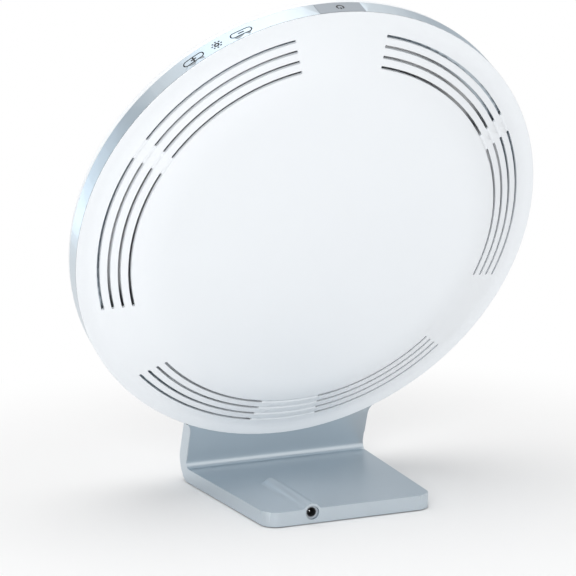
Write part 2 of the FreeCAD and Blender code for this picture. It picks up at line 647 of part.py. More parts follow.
def frame_shell():
    """Make the silver frame: band, flange, wall and base as one hollow moulding."""
    plate = shared("base_outer", bent_strip("bent_outer", ("0", "base_top"), ("band_width", "foot_proud"),
                                            ("crease_round", "bend_round"), "rear_y", "stand_half"),
                   base_plan("plan_outer", "0"))
    wall = wall_slab("wall_outer", "0", "head_radius - band_wall/2", "0", "band_width")
    hollow = shared("base_cavity", bent_strip("bent_cavity", ("skin", "base_top - skin"),
                                              ("band_width + 5*poke", "foot_proud - 5*poke"),
                                              ("crease_round + skin", "poke"), "rear_y - skin",
                                              "stand_half - skin"),
                    base_plan("plan_cavity", "skin"))
    wall_hollow = wall_slab("wall_cavity", "skin", "head_radius", "skin", "band_width + 5*poke - skin")
    channel = rod("hump_channel", "hump_radius - hump_wall", "hump_hollow",
                  ("inlet_x", "rear_y - skin - hump_hollow", "inlet_z"), "Y")
    inlet = rod("inlet_hole", "inlet_recess", "skin + 2*poke",
                ("inlet_x", "rear_y - skin - poke", "inlet_z"), "Y")
    solid = join("stand_solid", plate, wall, *hump())
    stand = less("stand_hollow", solid, hollow, wall_hollow, channel, inlet)
    posts = uprights("post", "post_radius", "floor_z", "base_top - skin/2", POST_SPOTS)
    notch_back, notch_depth = "flange_back - 0.1*poke", "flange_front - flange_back + poke"
    passage = on_head(group("passages",
        block("passage", ("-passage_half", "-(head_radius + passage_below)", "skin - passage_lap"),
              ("2*passage_half", "passage_height", "bracket_depth + bracket_thick + poke - skin")),
        block("lead_notch", ("inlet_x - lead_notch_left", "-(band_inner - lead_notch_rim)", notch_back),
              ("lead_notch_left + lead_notch_right", "band_inner - flange_inner", notch_depth)),
        block("key_lead_notch", ("-key_lead_half", "flange_inner - poke", notch_back),
              ("2*key_lead_half", "key_notch + poke", notch_depth)),
        *key_openings(),
        ring_of("flange_holes", rod("flange_hole", LOOSE, "flange_front - flange_back - flange_skin + poke",
                                    ("0", "0", "flange_back + flange_skin")),
                "chassis_screw_count", "chassis_screw_circle"),
        *uprights("bracket_flange_hole", LOOSE, "flange_back + flange_skin", "flange_front + poke",
                  BRACKET_SPOTS)))
    post_holes = uprights("post_hole", LOOSE, "floor_z - poke", "screw_top_z", POST_SPOTS)
    whole = join("frame_solid", stand, on_head(frame_ring()), *posts)
    return node(less("frame_shell", whole, passage, *post_holes), "frame_shell")


# The keys in the band: angle from the side, and place across the band
KEYS = {
    "power": ("90", "power_key_axial"),
    "plus": ("level_angle - level_spread", "small_key_axial"),
    "minus": ("level_angle + level_spread", "small_key_axial"),
}
SWITCH_OFFSETS = {
    "power": "0",
    "plus": "-plunger_top*tan(level_spread)",
    "minus": "plunger_top*tan(level_spread)",
}


def key_openings():
    """Make the three holes in the band that the keys stand in."""
    through = tube("opening_ring", "band_inner", "head_radius + 3*poke", "-poke", "band_width + poke")
    made = []
    for name, (angle, axial) in KEYS.items():
        if name == "power":
            half = "power_key_half + key_gap"
            shape = face_of("power_opening_face", half, "-2*poke", "band_width + 2*poke")
        else:
            shape = key_prism(name + "_opening_face", "small_key_length/2", "small_key_width", axial)
        made.append(turn_about_head(shared(name + "_opening", through, shape), angle))
    return made


def key_button(name):
    """Make a key: its curved cap, its stem, and an ear at each end that keeps it in the band."""
    angle, axial = KEYS[name]
    ring = tube(name + "_cap_ring", "key_back", "head_radius", "key_gap", "band_width - key_gap")
    if name == "power":
        half, reach = "power_key_half", "plunger_top"
        face = face_of("power_cap_face", half, "0", "band_width")
    else:
        half = "(small_key_length/2 - small_key_gap)"
        reach = "(plunger_top/cos(level_spread) + plunger_radius*sin(level_spread))"
        face = key_prism(name + "_cap_face", half, "small_key_width - 2*small_key_gap", axial)
    pieces = [shared(name + "_cap", ring, face)]
    pieces.append(rod(name + "_stem", "stem_radius", f"key_back + 0.3 - {reach} - stem_gap",
                      (f"{reach} + stem_gap", "0", axial), "X"))
    low, high = f"{axial} - ear_half", f"{axial} + ear_half"
    under = tube(name + "_ear_ring", "band_inner - key_gap - ear_thick", "band_inner - key_gap", low, high)
    neck_ring = tube(name + "_neck_ring", "band_inner - key_gap - ear_thick", "key_back + 0.3", low, high)
    inner_end = f"({half} - key_gap - ear_post)"
    outer_end = f"({half} + key_gap + ear_length)"
    for side, ear_start, post_start in (("left", f"-{outer_end}", f"-({half} - key_gap)"),
                                        ("right", inner_end, inner_end)):
        ear_box = block(f"{name}_{side}_ear_box", ("band_inner - 5", ear_start, "0"),
                        ("10", f"{outer_end} - {inner_end}", "band_width"))
        post_box = block(f"{name}_{side}_post_box", ("band_inner - 5", post_start, "0"),
                         ("10", "ear_post", "band_width"))
        pieces.append(shared(f"{name}_{side}_ear", under, ear_box))
        pieces.append(shared(f"{name}_{side}_post", neck_ring, post_box))
    whole = turn_about_head(join(name + "_key_solid", *pieces), angle)
    node(on_head(group(name + "_button", whole)), name + "_button")


def key_board(name, half, angle):
    """Make the narrow circuit board behind the power key or behind the two small keys."""
    plate = block(name + "_plate", ("key_board_back", f"-({half})", "flange_front"),
                  ("board_thick", f"2*({half})", "key_board_front - flange_front"))
    turned_plate = turn_about_head(group(name + "_turned", plate), angle)
    node(on_head(group(name, turned_plate)), name)


def key_switch(name):
    """Make a switch housing with its bore, and the plunger in it."""
    axial, offset = KEYS[name][1], SWITCH_OFFSETS[name]
    board_angle = "90" if name == "power" else "level_angle"
    top = "switch_foot + switch_height"
    low = ("switch_foot", f"{offset} - switch_side/2", f"{axial} - switch_side/2")
    housing = block(name + "_switch_case", low, ("switch_height", "switch_side", "switch_side"))
    depth = "(plunger_inside + key_travel + plunger_floor)"
    bore = rod(name + "_switch_bore", "plunger_radius + plunger_gap", f"{depth} + poke",
               (f"{top} - {depth}", offset, axial), "X")
    case = turn_about_head(less(name + "_switch_solid", housing, bore), board_angle)
    node(on_head(group(name + "_switch", case)), name + "_switch")
    plunger = rod(name + "_plunger_rod", "plunger_radius", "plunger_inside + plunger_proud",
                  (f"{top} - plunger_inside", offset, axial), "X")
    turned_plunger = turn_about_head(group(name + "_plunger_turned", plunger), board_angle)
    node(on_head(group(name + "_plunger", turned_plunger)), name + "_plunger")


# The white covers
def cover_surface(inset):
    """Give the rear cover's run from its crown out to its rim, at an inset from its outer face."""
    start = f"(cone_start - ({inset})*tan(cone_angle/2))"
    rim = f"(rim_depth - ({inset}))"
    crown = f"(crown_depth - ({inset}))"
    inner = f"({start} - ({crown} - {rim})/tan(cone_angle))"
    rim_reach = f"((rim_blend + ({inset}))*tan(cone_angle/2))"
    crown_reach = f"((crown_blend - ({inset}))*tan(cone_angle/2))"
    return [
        ("0", f"-{crown}"),
        (f"{inner} - {crown_reach}", f"-{crown}"),
        (f"{inner} + {crown_reach}*cos(cone_angle)", f"-{crown} + {crown_reach}*sin(cone_angle)",
         f"(crown_blend - ({inset}))"),
        (f"{start} - {rim_reach}*cos(cone_angle)", f"-{rim} - {rim_reach}*sin(cone_angle)"),
        (f"{start} + {rim_reach}", f"-{rim}", f"-(rim_blend + ({inset}))"),
    ]


def reverse_path(path):
    """Run an open stretch of outline the other way, its arcs with it."""
    back = []
    for position in range(len(path) - 1, -1, -1):
        corner = tuple(path[position][:2])
        after = path[position + 1] if position + 1 < len(path) else ()
        if len(after) == 3:
            corner += (f"-({after[2]})",)
        back.append(corner)
    return back


def slot_loop(radius, start, end):
    """Outline one curved slot with rounded ends; angles are from twelve o'clock."""
    outer = f"({radius} + slot_width/2)"
    inner = f"({radius} - slot_width/2)"
    return [
        (f"{outer}*sin({start})", f"{outer}*cos({start})", "-slot_width*0.55"),
        (f"{outer}*sin({end})", f"{outer}*cos({end})", f"-{outer}"),
        (f"{inner}*sin({end})", f"{inner}*cos({end})", "-slot_width*0.55"),
        (f"{inner}*sin({start})", f"{inner}*cos({start})", inner),
    ]


def cover_slots(body, name, start, end):
    """Cut one block of slots, one slot in each ring, right through the cover."""
    rings = range(int(num("slot_rings")))
    loops = [slot_loop(f"(slot_radius - {ring}*slot_pitch)", start, end) for ring in rings]
    pocket = body.newObject("PartDesign::Pocket", name)
    pocket.Profile = outline(body, "XY_Plane", loops, "cover_lip")
    bind(pocket, Length="cover_lip + crown_depth + 5")
    return pocket


def cover_grooves(body, name, start, end):
    """Cut the shallow grooves that carry the slots' lines across a break."""
    loops = []
    for ring in range(int(num("slot_rings"))):
        radius = f"(slot_radius - {ring}*slot_pitch)"
        depth = f"(rim_depth + (cone_start - {radius})*tan(cone_angle))"
        floor, low = f"blind_depth - {depth}", f"-3 - {depth}"
        near, far = f"{radius} - slot_width/2", f"{radius} + slot_width/2"
        loops.append([(near, low), (far, low), (far, floor), (near, floor)])
    groove = body.newObject("PartDesign::Groove", name)
    groove.Profile = outline(body, "XZ_Plane", loops, turn=f"90 - ({end})")
    groove.ReferenceAxis = (groove.Profile[0], ["V_Axis"])
    bind(groove, Angle=f"({end}) - ({start})")
    return groove


def rear_cover():
    """Turn the white rear cover, cut its slots on one side and mirror them."""
    body = turned("rear_cover", cover_surface("0") + [
        ("head_radius - rim_round", "-rim_depth"),
        ("head_radius", "-(rim_depth - rim_round)", "rim_round"),
        ("head_radius", "-seam_gap"),
        ("head_radius - seam_depth", "-seam_gap"),
        ("head_radius - seam_depth", "0"),
        ("band_inner - lip_gap", "0"),
        ("band_inner - lip_gap", "cover_lip"),
        ("cover_lip_inner", "cover_lip"),
        ("cover_lip_inner", "cover_wall - rim_depth"),
    ] + reverse_path(cover_surface("cover_wall")))
    cuts = [
        cover_slots(body, "slots_upper", "slot_top", "side_break - side_break_half"),
        cover_slots(body, "slots_lower", "side_break + side_break_half", "side_end"),
        cover_slots(body, "slots_bottom", "bottom_start", "180 - bottom_break_half"),
        cover_grooves(body, "grooves_side", "side_break - side_break_half", "side_break + side_break_half"),
        cover_grooves(body, "grooves_bottom", "180 - bottom_break_half", "180"),
    ]
    mirror = body.newObject("PartDesign::Mirrored", "other_side")
    mirror.Originals = cuts
    mirror.MirrorPlane = (origin_plane(body, "YZ_Plane"), [""])
    body.Tip = mirror
    node(on_head(body), "rear_cover")


def diffuser_screen():
    """Turn the opal front screen with its rounded edge and its lip."""
    front = "band_width + diffuser_round"
    back = f"({front} - diffuser_wall)"
    inner_round = "(diffuser_lip_inner - (head_radius - diffuser_round))"
    node(on_head(turned("diffuser_screen", [
        ("band_inner - lip_gap", "band_width - diffuser_lip"),
        ("band_inner - lip_gap", "band_width"),
        ("head_radius", "band_width"),
        ("head_radius - diffuser_round", front, "diffuser_round"),
        ("0", front),
        ("0", back),
        ("head_radius - diffuser_round", back),
        ("diffuser_lip_inner", f"{back} - {inner_round}", f"-{inner_round}"),
        ("diffuser_lip_inner", "band_width - diffuser_lip"),
    ])), "diffuser_screen")


# The chassis plate and what it carries
def chassis_and_light():
    """Make the chassis plate, the light board, its diodes and the reflector ring."""
    plate = rod("chassis_disc", "chassis_radius", "chassis_thick", ("0", "0", "flange_front"))
    hole = rod("chassis_hole", LOOSE, "chassis_thick + 2*poke", ("0", "0", "flange_front - poke"))
    holes = ring_of("chassis_holes", hole, "chassis_screw_count", "chassis_screw_circle")
    more = uprights("bracket_chassis_hole", LOOSE, "flange_front - poke", "chassis_front + poke",
                    BRACKET_SPOTS)
    lead_holes = {"key_lead_hole": ("key_lead_half", "key_lead_hole"),
                  "light_lead_hole": ("light_lead_hole_radius", "0")}
    leads = [rod(name, radius, "chassis_thick + 2*poke", ("0", up, "flange_front - poke"))
             for name, (radius, up) in lead_holes.items()]
    node(on_head(less("chassis_plate", plate, holes, *more, *leads)), "chassis_plate")
    disc = rod("light_disc", "board_radius", "board_thick", ("0", "0", "chassis_front"))
    centre_hole = rod("light_disc_hole", "light_lead_hole_radius", "board_thick + 2*poke",
                      ("0", "0", "chassis_front - poke"))
    node(on_head(less("light_board", disc, centre_hole)), "light_board")
    diode = block("diode", ("-led_length/2", "-led_width/2", "board_front"),
                  ("led_length", "led_width", "led_height"))
    rings = [ring_of(f"diode_ring_{ring}", diode, f"(led_step*{ring + 1})", f"(led_first + {ring}*led_pitch)")
             for ring in range(int(num("led_rings")))]
    node(on_head(group("light_diodes", *rings)), "light_diodes")
    node(on_head(turned("reflector_ring", [
        ("reflector_foot", "board_front"),
        ("reflector_foot + reflector_wall", "board_front"),
        ("reflector_top + reflector_wall", "reflector_front"),
        ("reflector_top", "reflector_front"),
    ])), "reflector_ring")


def driver():
    """Make the driver board behind the chassis plate, with its spacers and components."""
    back = "driver_back"
    low = ("-driver_length/2", "-driver_middle - driver_height/2", back)
    plate = block("driver_plate", low, ("driver_length", "driver_height", "board_thick"))
    holes = uprights("driver_hole", LOOSE, f"{back} - poke", f"{back} + board_thick + poke", DRIVER_SPOTS)
    node(on_head(less("driver_board", plate, *holes)), "driver_board")
    top = f"{back} + board_thick"
    spacers = uprights("spacer", "spacer_radius", top, "flange_front", DRIVER_SPOTS)
    bores = uprights("spacer_bore", LOOSE, f"{top} - poke", f"{top} + spacer_bore", DRIVER_SPOTS)
    node(on_head(less("board_spacers", group("spacers", *spacers), *bores)), "board_spacers")
    coil = rod("inductor_can", "inductor_radius", "inductor_height",
               ("-driver_length/4", "-driver_middle", f"{back} - inductor_height"))
    node(on_head(group("inductor", coil)), "inductor")
    spots = [("-capacitor_radius/2", f"-driver_middle {sign} 3*capacitor_radius/2") for sign in "+-"]
    cans = uprights("capacitor", "capacitor_radius", f"{back} - capacitor_height", back, spots)
    node(on_head(group("capacitors", *cans)), "capacitors")
    chip = block("chip_case", ("driver_length/6", "-driver_middle - chip_side/2", f"{back} - chip_height"),
                 ("chip_side", "chip_side", "chip_height"))
    node(on_head(group("driver_chip", chip)), "driver_chip")
    power = block("power_header_case", ("header_x - header_width/2", "header_y", f"{back} - header_height"),
                  ("header_width", "header_depth", "header_height"))
    node(on_head(group("power_header", power)), "power_header")


# The power inlet in the base's rear edge
def power_inlet():
    """Make the inlet's housing, its metal sleeve, its centre pin and its board."""
    face = "(rear_y - jack_sunk)"
    bore = "jack_bore + jack_sleeve_wall"
    floor = ("inlet_x", f"{face} - jack_depth", "inlet_z")
    back = ("inlet_x", f"{face} - jack_length", "inlet_z")
    case = rod("jack_case", "jack_radius", "jack_length", back, "Y")
    hole = rod("jack_hole", bore, "jack_depth + poke", floor, "Y")
    node(less("jack_housing", case, hole), "jack_housing")
    outer = rod("sleeve_outer", bore, "jack_depth", floor, "Y")
    inner = rod("sleeve_inner", "jack_bore", "jack_depth + 2*poke",
                ("inlet_x", f"{face} - jack_depth - poke", "inlet_z"), "Y")
    node(less("jack_sleeve", outer, inner), "jack_sleeve")
    pin = rod("jack_pin_rod", "jack_pin", "jack_depth - jack_pin_sunk - jack_pin", floor, "Y")
    tip = doc.addObject("Part::Sphere", "jack_pin_tip")
    tip_y = f"{face} - jack_pin_sunk - jack_pin"
    bind(tip, Radius="jack_pin", Placement__Base__x="inlet_x", Placement__Base__y=tip_y)
    bind(tip, Placement__Base__z="inlet_z")
    node(join("jack_pin_solid", pin, tip), "jack_pin")
    board_y = f"{face} - jack_length - board_thick"
    board = block("jack_plate", ("inlet_x - jack_board_half", board_y, "floor_z"),
                  ("2*jack_board_half", "board_thick", "inlet_z + jack_board_above - floor_z"))
    node(group("jack_board", board), "jack_board")


# What lies inside the stand
def stand_inside():
    """Make the stand's cover, feet, steel weight, steel bracket and lead clips."""
    inset = "skin + cover_gap"
    front = "band_width"
    rounds = ("bend_round - stand_cover_thick", "bend_round")
    strip = shared("cover_base", bent_strip("cover_bent", (f"{front} - stand_cover_thick", "floor_z"),
                                            (front, "foot_proud"), rounds,
                                            f"rear_y - {inset}", f"stand_half - ({inset})"),
                   base_plan("cover_plan", inset))
    slab = wall_slab("cover_wall_slab", inset, "head_radius + cover_gap", f"{front} - stand_cover_thick",
                     "stand_cover_thick")
    feet = uprights("foot_recess", "foot_radius", "0", "foot_proud + foot_sunk", FOOT_SPOTS)
    spots = POST_SPOTS + WEIGHT_SPOTS
    seats = uprights("screw_seat", "screw_head + screw_end_gap", "0", "screw_seat_z", spots)
    shanks = uprights("cover_hole", LOOSE, "0", "floor_z + poke", spots)
    node(less("stand_cover", join("cover_solid", strip, slab), *feet, *seats, *shanks), "stand_cover")
    feet = uprights("foot", "foot_radius", "0", "foot_proud + foot_sunk", FOOT_SPOTS)
    node(group("rubber_feet", *feet), "rubber_feet")
    plate_z = "floor_z + bracket_thick"
    weight = block("weight_block", ("-ballast_left", "crease_y + ballast_front", plate_z),
                   ("ballast_left + ballast_right", "ballast_length", "ballast_thick"))
    bores = uprights("weight_bore", LOOSE, "floor_z", "screw_top_z", WEIGHT_SPOTS)
    node(less("ballast_plate", weight, *bores), "ballast_plate")
    rounds = ("bracket_round", "bracket_round + bracket_thick")
    strip = bent_strip("bracket_bent", ("bracket_depth", plate_z),
                       ("bracket_depth + bracket_thick", "floor_z"),
                       rounds, "crease_y + bracket_foot", "bracket_half")
    upper = on_head(group("bracket_upper", block(
        "bracket_leaf", ("-bracket_half", "neck - crease_u", "bracket_depth"),
        ("2*bracket_half", "crease_u - neck - (chassis_radius - bracket_overlap)", "bracket_thick"))))
    holes = uprights("bracket_weight_hole", LOOSE, "floor_z - poke", f"{plate_z} + poke", WEIGHT_SPOTS)
    top_holes = on_head(group("bracket_top_holes", *uprights(
        "bracket_top_hole", LOOSE, "bracket_depth - poke", "bracket_depth + bracket_thick + poke",
        BRACKET_SPOTS)))
    node(less("stand_bracket", join("bracket_solid", strip, upper), *holes, top_holes), "stand_bracket")
    clips = []
    for index, y in enumerate(("rear_y - clip_rear", "crease_y + clip_front")):
        body = block(f"clip_body_{index}", ("inlet_x - clip_half", y, "floor_z"),
                     ("2*clip_half", "clip_length", "base_top - skin - floor_z"))
        bore = rod(f"clip_bore_{index}", "lead_radius + clip_gap", "clip_length + 2*poke",
                   ("inlet_x", f"{y} - poke", "lead_z"), "Y")
        clips.append(less(f"clip_{index}", body, bore))
    node(group("lead_clips", *clips), "lead_clips")


def screws():
    """Make the screws; each has a round head and a plain shank."""
    def screw(name, x, y, seat, length, up):
        """Make one screw with its head at a seat and its shank upwards or downwards."""
        head_low = seat if up < 0 else f"{seat} - screw_head_height"
        shank_low = f"{seat} - ({length})" if up < 0 else seat
        return join(name, rod(name + "_head", "screw_head", "screw_head_height", (x, y, head_low)),
                    rod(name + "_shank", "screw_radius", length, (x, y, shank_low)))
    single = screw("chassis_screw", "0", "0", "chassis_front", "chassis_screw_length", -1)
    dozen = ring_of("chassis_screws", single, "chassis_screw_count", "chassis_screw_circle")
    node(on_head(dozen), "chassis_screws")
    seat = "bracket_depth + bracket_thick"
    pair = [screw(f"bracket_screw_{index}", x, y, seat, "bracket_screw_length", -1)
            for index, (x, y) in enumerate(BRACKET_SPOTS)]
    node(on_head(group("bracket_screws", *pair)), "bracket_screws")
    four = [screw(f"driver_screw_{index}", x, y, "driver_back", "driver_screw_length", 1)
            for index, (x, y) in enumerate(DRIVER_SPOTS)]
    node(on_head(group("driver_screws", *four)), "driver_screws")
    eight = [screw(f"base_screw_{index}", x, y, "screw_seat_z", "base_screw_length", 1)
             for index, (x, y) in enumerate(POST_SPOTS + WEIGHT_SPOTS)]
    node(group("base_screws", *eight), "base_screws")


# The inner leads, held all the way; a bend takes this share of the shorter run beside it
LEAD_SHARE = 0.45


def lead_solid(points, radius):
    """Sweep a round section along straight runs joined by arcs as large as the runs allow."""
    edges, start = [], points[0]
    for before, corner, after in zip(points, points[1:], points[2:]):
        back, ahead = before.sub(corner), after.sub(corner)
        half_turn = (math.pi - back.getAngle(ahead)) / 2
        reach = LEAD_SHARE * min(back.Length, ahead.Length)
        first = corner.add(back.normalize().multiply(reach))
        last = corner.add(ahead.normalize().multiply(reach))
        bend = reach / math.tan(half_turn)
        inward = first.add(last).multiply(0.5).sub(corner).normalize()
        crown = corner.add(inward.multiply(bend / math.cos(half_turn) - bend))
        edges += [Part.LineSegment(start, first).toShape(), Part.Arc(first, crown, last).toShape()]
        start = last
    edges.append(Part.LineSegment(start, points[-1]).toShape())
    route = Part.Wire(edges)
    section = Part.Wire(Part.Circle(points[0], points[1].sub(points[0]), radius).toShape())
    solid = route.makePipeShell([section], True, False)
    print("lead", round(route.Length, 1), "volume over section times length",
          round(solid.Volume / (math.pi * radius**2 * route.Length), 4))
    return solid


def head_point(x, up, front):
    """Give a point drawn about the head's axis in the row frame."""
    place_on_stand = FreeCAD.Placement(FreeCAD.Vector(0, num("head_y"), num("head_height")),
                                       FreeCAD.Rotation(X_AXIS, 90 - num("lean")))
    return place_on_stand.multVec(FreeCAD.Vector(num(x), num(up), num(front)))


def row_point(x, y, z):
    """Give a point of the row frame from three formulas."""
    return FreeCAD.Vector(num(x), num(y), num(z))


def leads():
    """Lead the power from the inlet to the driver board, and the keys and diodes to it."""
    depth = "lead_wall_depth"
    corner_y, corner_z = bent_corner(depth, "lead_z")
    wall_foot = (f"{corner_y} + lead_bend*sin(lean)", f"{corner_z} + lead_bend*cos(lean)")
    power = [
        row_point("inlet_x", "rear_y - jack_sunk - jack_length - board_thick", "lead_z"),
        row_point("inlet_x", f"{corner_y} + lead_bend", "lead_z"),
        row_point("inlet_x", *wall_foot),
        head_point("inlet_x", "-(head_radius + 1)", depth),
        head_point("inlet_x - 2.5", "-(flange_step - 2)", f"{depth} - 1.3"),
        head_point("(inlet_x + header_x)/2", "-(flange_inner - 6)", "-1.2"),
        head_point("header_x", "header_y - 18", "driver_back - header_height/2 + 0.8"),
        head_point("header_x", "header_y - 0.1", "driver_back - header_height/2"),
    ]
    key = [
        head_point("0", "key_board_back", "power_key_axial"),
        head_point("0", "key_lead_hole", "power_key_axial"),
        head_point("0", "key_lead_hole - 1", "flange_back"),
        head_point("-3", "key_lead_hole - 40", "key_lead_depth"),
        head_point("3", "30", "key_lead_depth"),
        head_point("0", "-driver_middle + driver_height/2 + 0.1", "driver_back + board_thick/2"),
    ]
    routes = {"power_lead": (power, "lead_radius"), "key_lead": (key, "key_lead_radius")}
    for label, (points, radius) in routes.items():
        lead = doc.addObject("Part::Feature", label)
        lead.Shape = lead_solid(points, num(radius))
        node(lead, label)


doc.recompute()
frame_shell()
rear_cover()
diffuser_screen()
chassis_and_light()
driver()
key_board("power_key_board", "power_board_half", "90")
key_board("level_key_board", "level_board_half", "level_angle")
for key in KEYS:
    key_switch(key)
    key_button(key)
power_inlet()
stand_inside()
screws()
leads()
doc.recompute()

broken = [obj.Label for obj in doc.Objects if "Invalid" in obj.State or "Error" in obj.State]
for obj in nodes:
    if obj.Shape.isNull() or not obj.Shape.isValid() or not obj.Shape.Solids:
        broken.append(obj.Label + " has no valid solid")
if broken:
    raise RuntimeError("These failed: " + ", ".join(broken))

os.makedirs("parts", exist_ok=True)
for obj in nodes:
    obj.Shape.exportStep(os.path.join("parts", obj.Label + ".step"))
print(len(nodes), "sub-parts,", sum(len(obj.Shape.Solids) for obj in nodes), "solids")
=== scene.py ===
"""Dress the light therapy lamp: its paint and plastics, its printed marks, the stage and the camera.

The lamp stands on the floor at Z 0 and shines to -Y. Its round head leans back, so what sits on the
head is placed in the head's own directions: ACROSS to +X, UP along the leaning disc and FRONT out of it.
"""
import json
import math

import bmesh
import bpy
from bpy.props import FloatProperty, FloatVectorProperty, IntProperty, PointerProperty
from mathutils import Matrix, Vector


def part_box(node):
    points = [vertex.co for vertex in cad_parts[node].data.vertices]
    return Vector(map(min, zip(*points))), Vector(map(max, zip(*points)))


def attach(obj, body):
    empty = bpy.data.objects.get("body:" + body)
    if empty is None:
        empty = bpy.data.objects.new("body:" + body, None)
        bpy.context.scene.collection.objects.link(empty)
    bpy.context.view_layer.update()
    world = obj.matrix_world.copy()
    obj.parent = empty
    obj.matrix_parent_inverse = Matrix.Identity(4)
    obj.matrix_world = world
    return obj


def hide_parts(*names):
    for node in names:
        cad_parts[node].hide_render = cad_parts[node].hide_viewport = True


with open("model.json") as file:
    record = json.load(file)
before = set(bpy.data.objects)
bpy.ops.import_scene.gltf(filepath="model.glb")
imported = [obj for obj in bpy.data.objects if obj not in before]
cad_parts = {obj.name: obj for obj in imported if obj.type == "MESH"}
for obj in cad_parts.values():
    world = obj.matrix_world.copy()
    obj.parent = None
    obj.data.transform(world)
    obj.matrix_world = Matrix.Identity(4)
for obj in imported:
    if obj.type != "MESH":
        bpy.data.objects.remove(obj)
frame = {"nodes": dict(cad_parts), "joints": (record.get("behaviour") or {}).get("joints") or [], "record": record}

bl_info = {
    "name": "Light Therapy Lamp",
    "version": (1, 0, 0),
    "blender": (4, 5, 0),
    "location": "View3D > Sidebar > Lamp",
    "description": "Dresses the light therapy lamp and sets up its stage",
    "category": "Object",
}

MM = 0.001
WELD = 1e-6  # distance under which two corners are one
NEAR = 0.05 * MM  # distance under which a point counts as on a surface
ON_RIM = 0.06 * MM  # the same for the stand's outer edges
SEAM_GAP = 0.3 * MM  # width of the seam between the rear cover and the band
SEAM_REACH = 1 * MM  # depth in which the seam's walls are looked for
KEY_GAP_REACH = 2.5 * MM  # depth in which the walls of a key's gap are looked for
KEY_REACH = 10 * MM  # distance round the band in which a key's gap lies
KEY_GAP_FROM, KEY_GAP_TO = 1 * MM, 13 * MM  # where along the band the keys' gaps lie
ALONG_BAND = 0.3  # most that a gap's wall faces outwards
SHARP = math.radians(50)  # least angle of an edge that is rounded
SIDE_FROM = 0.4  # share of the base's height above which its side edges are rounded
RING_STEPS, STROKE_STEPS = 40, 6
STROKE_FROM, STROKE_TO = 0.25, 1.25  # ends of the power mark's stroke, in radii of its ring
SUN_CLEAR = 1.1  # room between the sun's ring and its rays, in line widths
FLOOR_RADIUS, FLOOR_STEPS, FLOOR_TONE = 6, 96, 0.93
FADE_FROM = 0.45  # share of the clear distance at which the floor begins to fade
# The lights: name, setting of its power, place and span.
LIGHTS = (
    ("top_light", "top_power", (0.1, -0.1, 2.2), 2.0),
    ("side_light", "side_power", (1.2, 2.1, 0.9), 1.2),
)
# The cards: name, setting of its brightness, share of it, way from the light board, distance and span.
CARDS = (
    ("left_grey_card", "grey_card", 1, (0.68, -0.68, 0.28), 1.6, 1.0),
    ("right_grey_card", "grey_card", 1, (-0.63, -0.74, 0.23), 1.6, 1.0),
    ("edge_bright_card", "bright_card", 1.3, (0.42, -0.9, 0.12), 1.2, 0.6),
    ("key_bright_card", "bright_card", 1, (0.2, -0.5, 0.84), 1.6, 0.6),
)
BODY_OF = {node: body for body, group in frame["record"]["behaviour"]["bodies"].items() for node in group}


def outward(key):
    """Give the direction that a key faces, against the way it is pressed."""
    joint = next(j for j in frame["joints"] if j["name"] == f"{key}_press")
    return -Vector(joint["axis"]).normalized()


def middle(node):
    """Give the middle of a node's box."""
    low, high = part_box(node)
    return (low + high) / 2


ACROSS = Vector((1, 0, 0))
UP = outward("power")
FRONT = ACROSS.cross(UP)
CENTRE = middle("light_board")
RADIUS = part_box("rear_cover")[1].x


def axial_middle(node):
    """Give how far a node's middle stands in front of the light board, along the head's axis."""
    along = [(vert.co - CENTRE).dot(FRONT) for vert in frame["nodes"][node].data.vertices]
    return (min(along) + max(along)) / 2


def cover_edge():
    """Give how far the rear cover's outer edge stands in front of the light board."""
    spots = [vert.co - CENTRE for vert in frame["nodes"]["rear_cover"].data.vertices]
    return max(spot.dot(FRONT) for spot in spots if spot.cross(FRONT).length > RADIUS - NEAR)


SEAM = cover_edge()


def angle_of(key):
    """Give a key's angle round the head, from ACROSS towards UP."""
    way = outward(key)
    return math.atan2(way.dot(UP), way.dot(ACROSS))


def key_span(key):
    """Give a small key's length round the band and its width along the head's axis."""
    spots = [vert.co - CENTRE for vert in frame["nodes"][f"{key}_button"].data.vertices]
    outer = [spot for spot in spots if spot.cross(FRONT).length > RADIUS - 0.5 * MM]
    turns = [math.atan2(spot.dot(UP), spot.dot(ACROSS)) for spot in outer]
    along = [spot.dot(FRONT) for spot in outer]
    return (max(turns) - min(turns)) * RADIUS, max(along) - min(along)


class LampFinishes(bpy.types.PropertyGroup):
    """Colours and surfaces of the lamp."""

    silver: FloatVectorProperty(
        name="Silver paint", description="Colour of the band and the stand",
        default=(0.55, 0.615, 0.665), subtype="COLOR", min=0, max=1)
    silver_metal: FloatProperty(
        name="Silver metal", description="How metallic the silver paint looks",
        default=0.92, subtype="FACTOR", min=0, max=1)
    silver_roughness: FloatProperty(
        name="Silver roughness", description="Roughness of the silver paint",
        default=0.3, subtype="FACTOR", min=0, max=1)
    cover: FloatVectorProperty(
        name="White cover", description="Colour of the rear cover",
        default=(0.88, 0.91, 0.94), subtype="COLOR", min=0, max=1)
    cover_roughness: FloatProperty(
        name="Cover roughness", description="Roughness of the rear cover",
        default=0.3, subtype="FACTOR", min=0, max=1)
    screen: FloatVectorProperty(
        name="Opal screen", description="Colour of the front screen",
        default=(0.88, 0.9, 0.92), subtype="COLOR", min=0, max=1)
    power_key: FloatVectorProperty(
        name="Power key", description="Colour of the power key",
        default=(0.31, 0.345, 0.385), subtype="COLOR", min=0, max=1)
    mark: FloatVectorProperty(
        name="Printed marks", description="Colour of the printed marks",
        default=(0.006, 0.007, 0.009), subtype="COLOR", min=0, max=1)


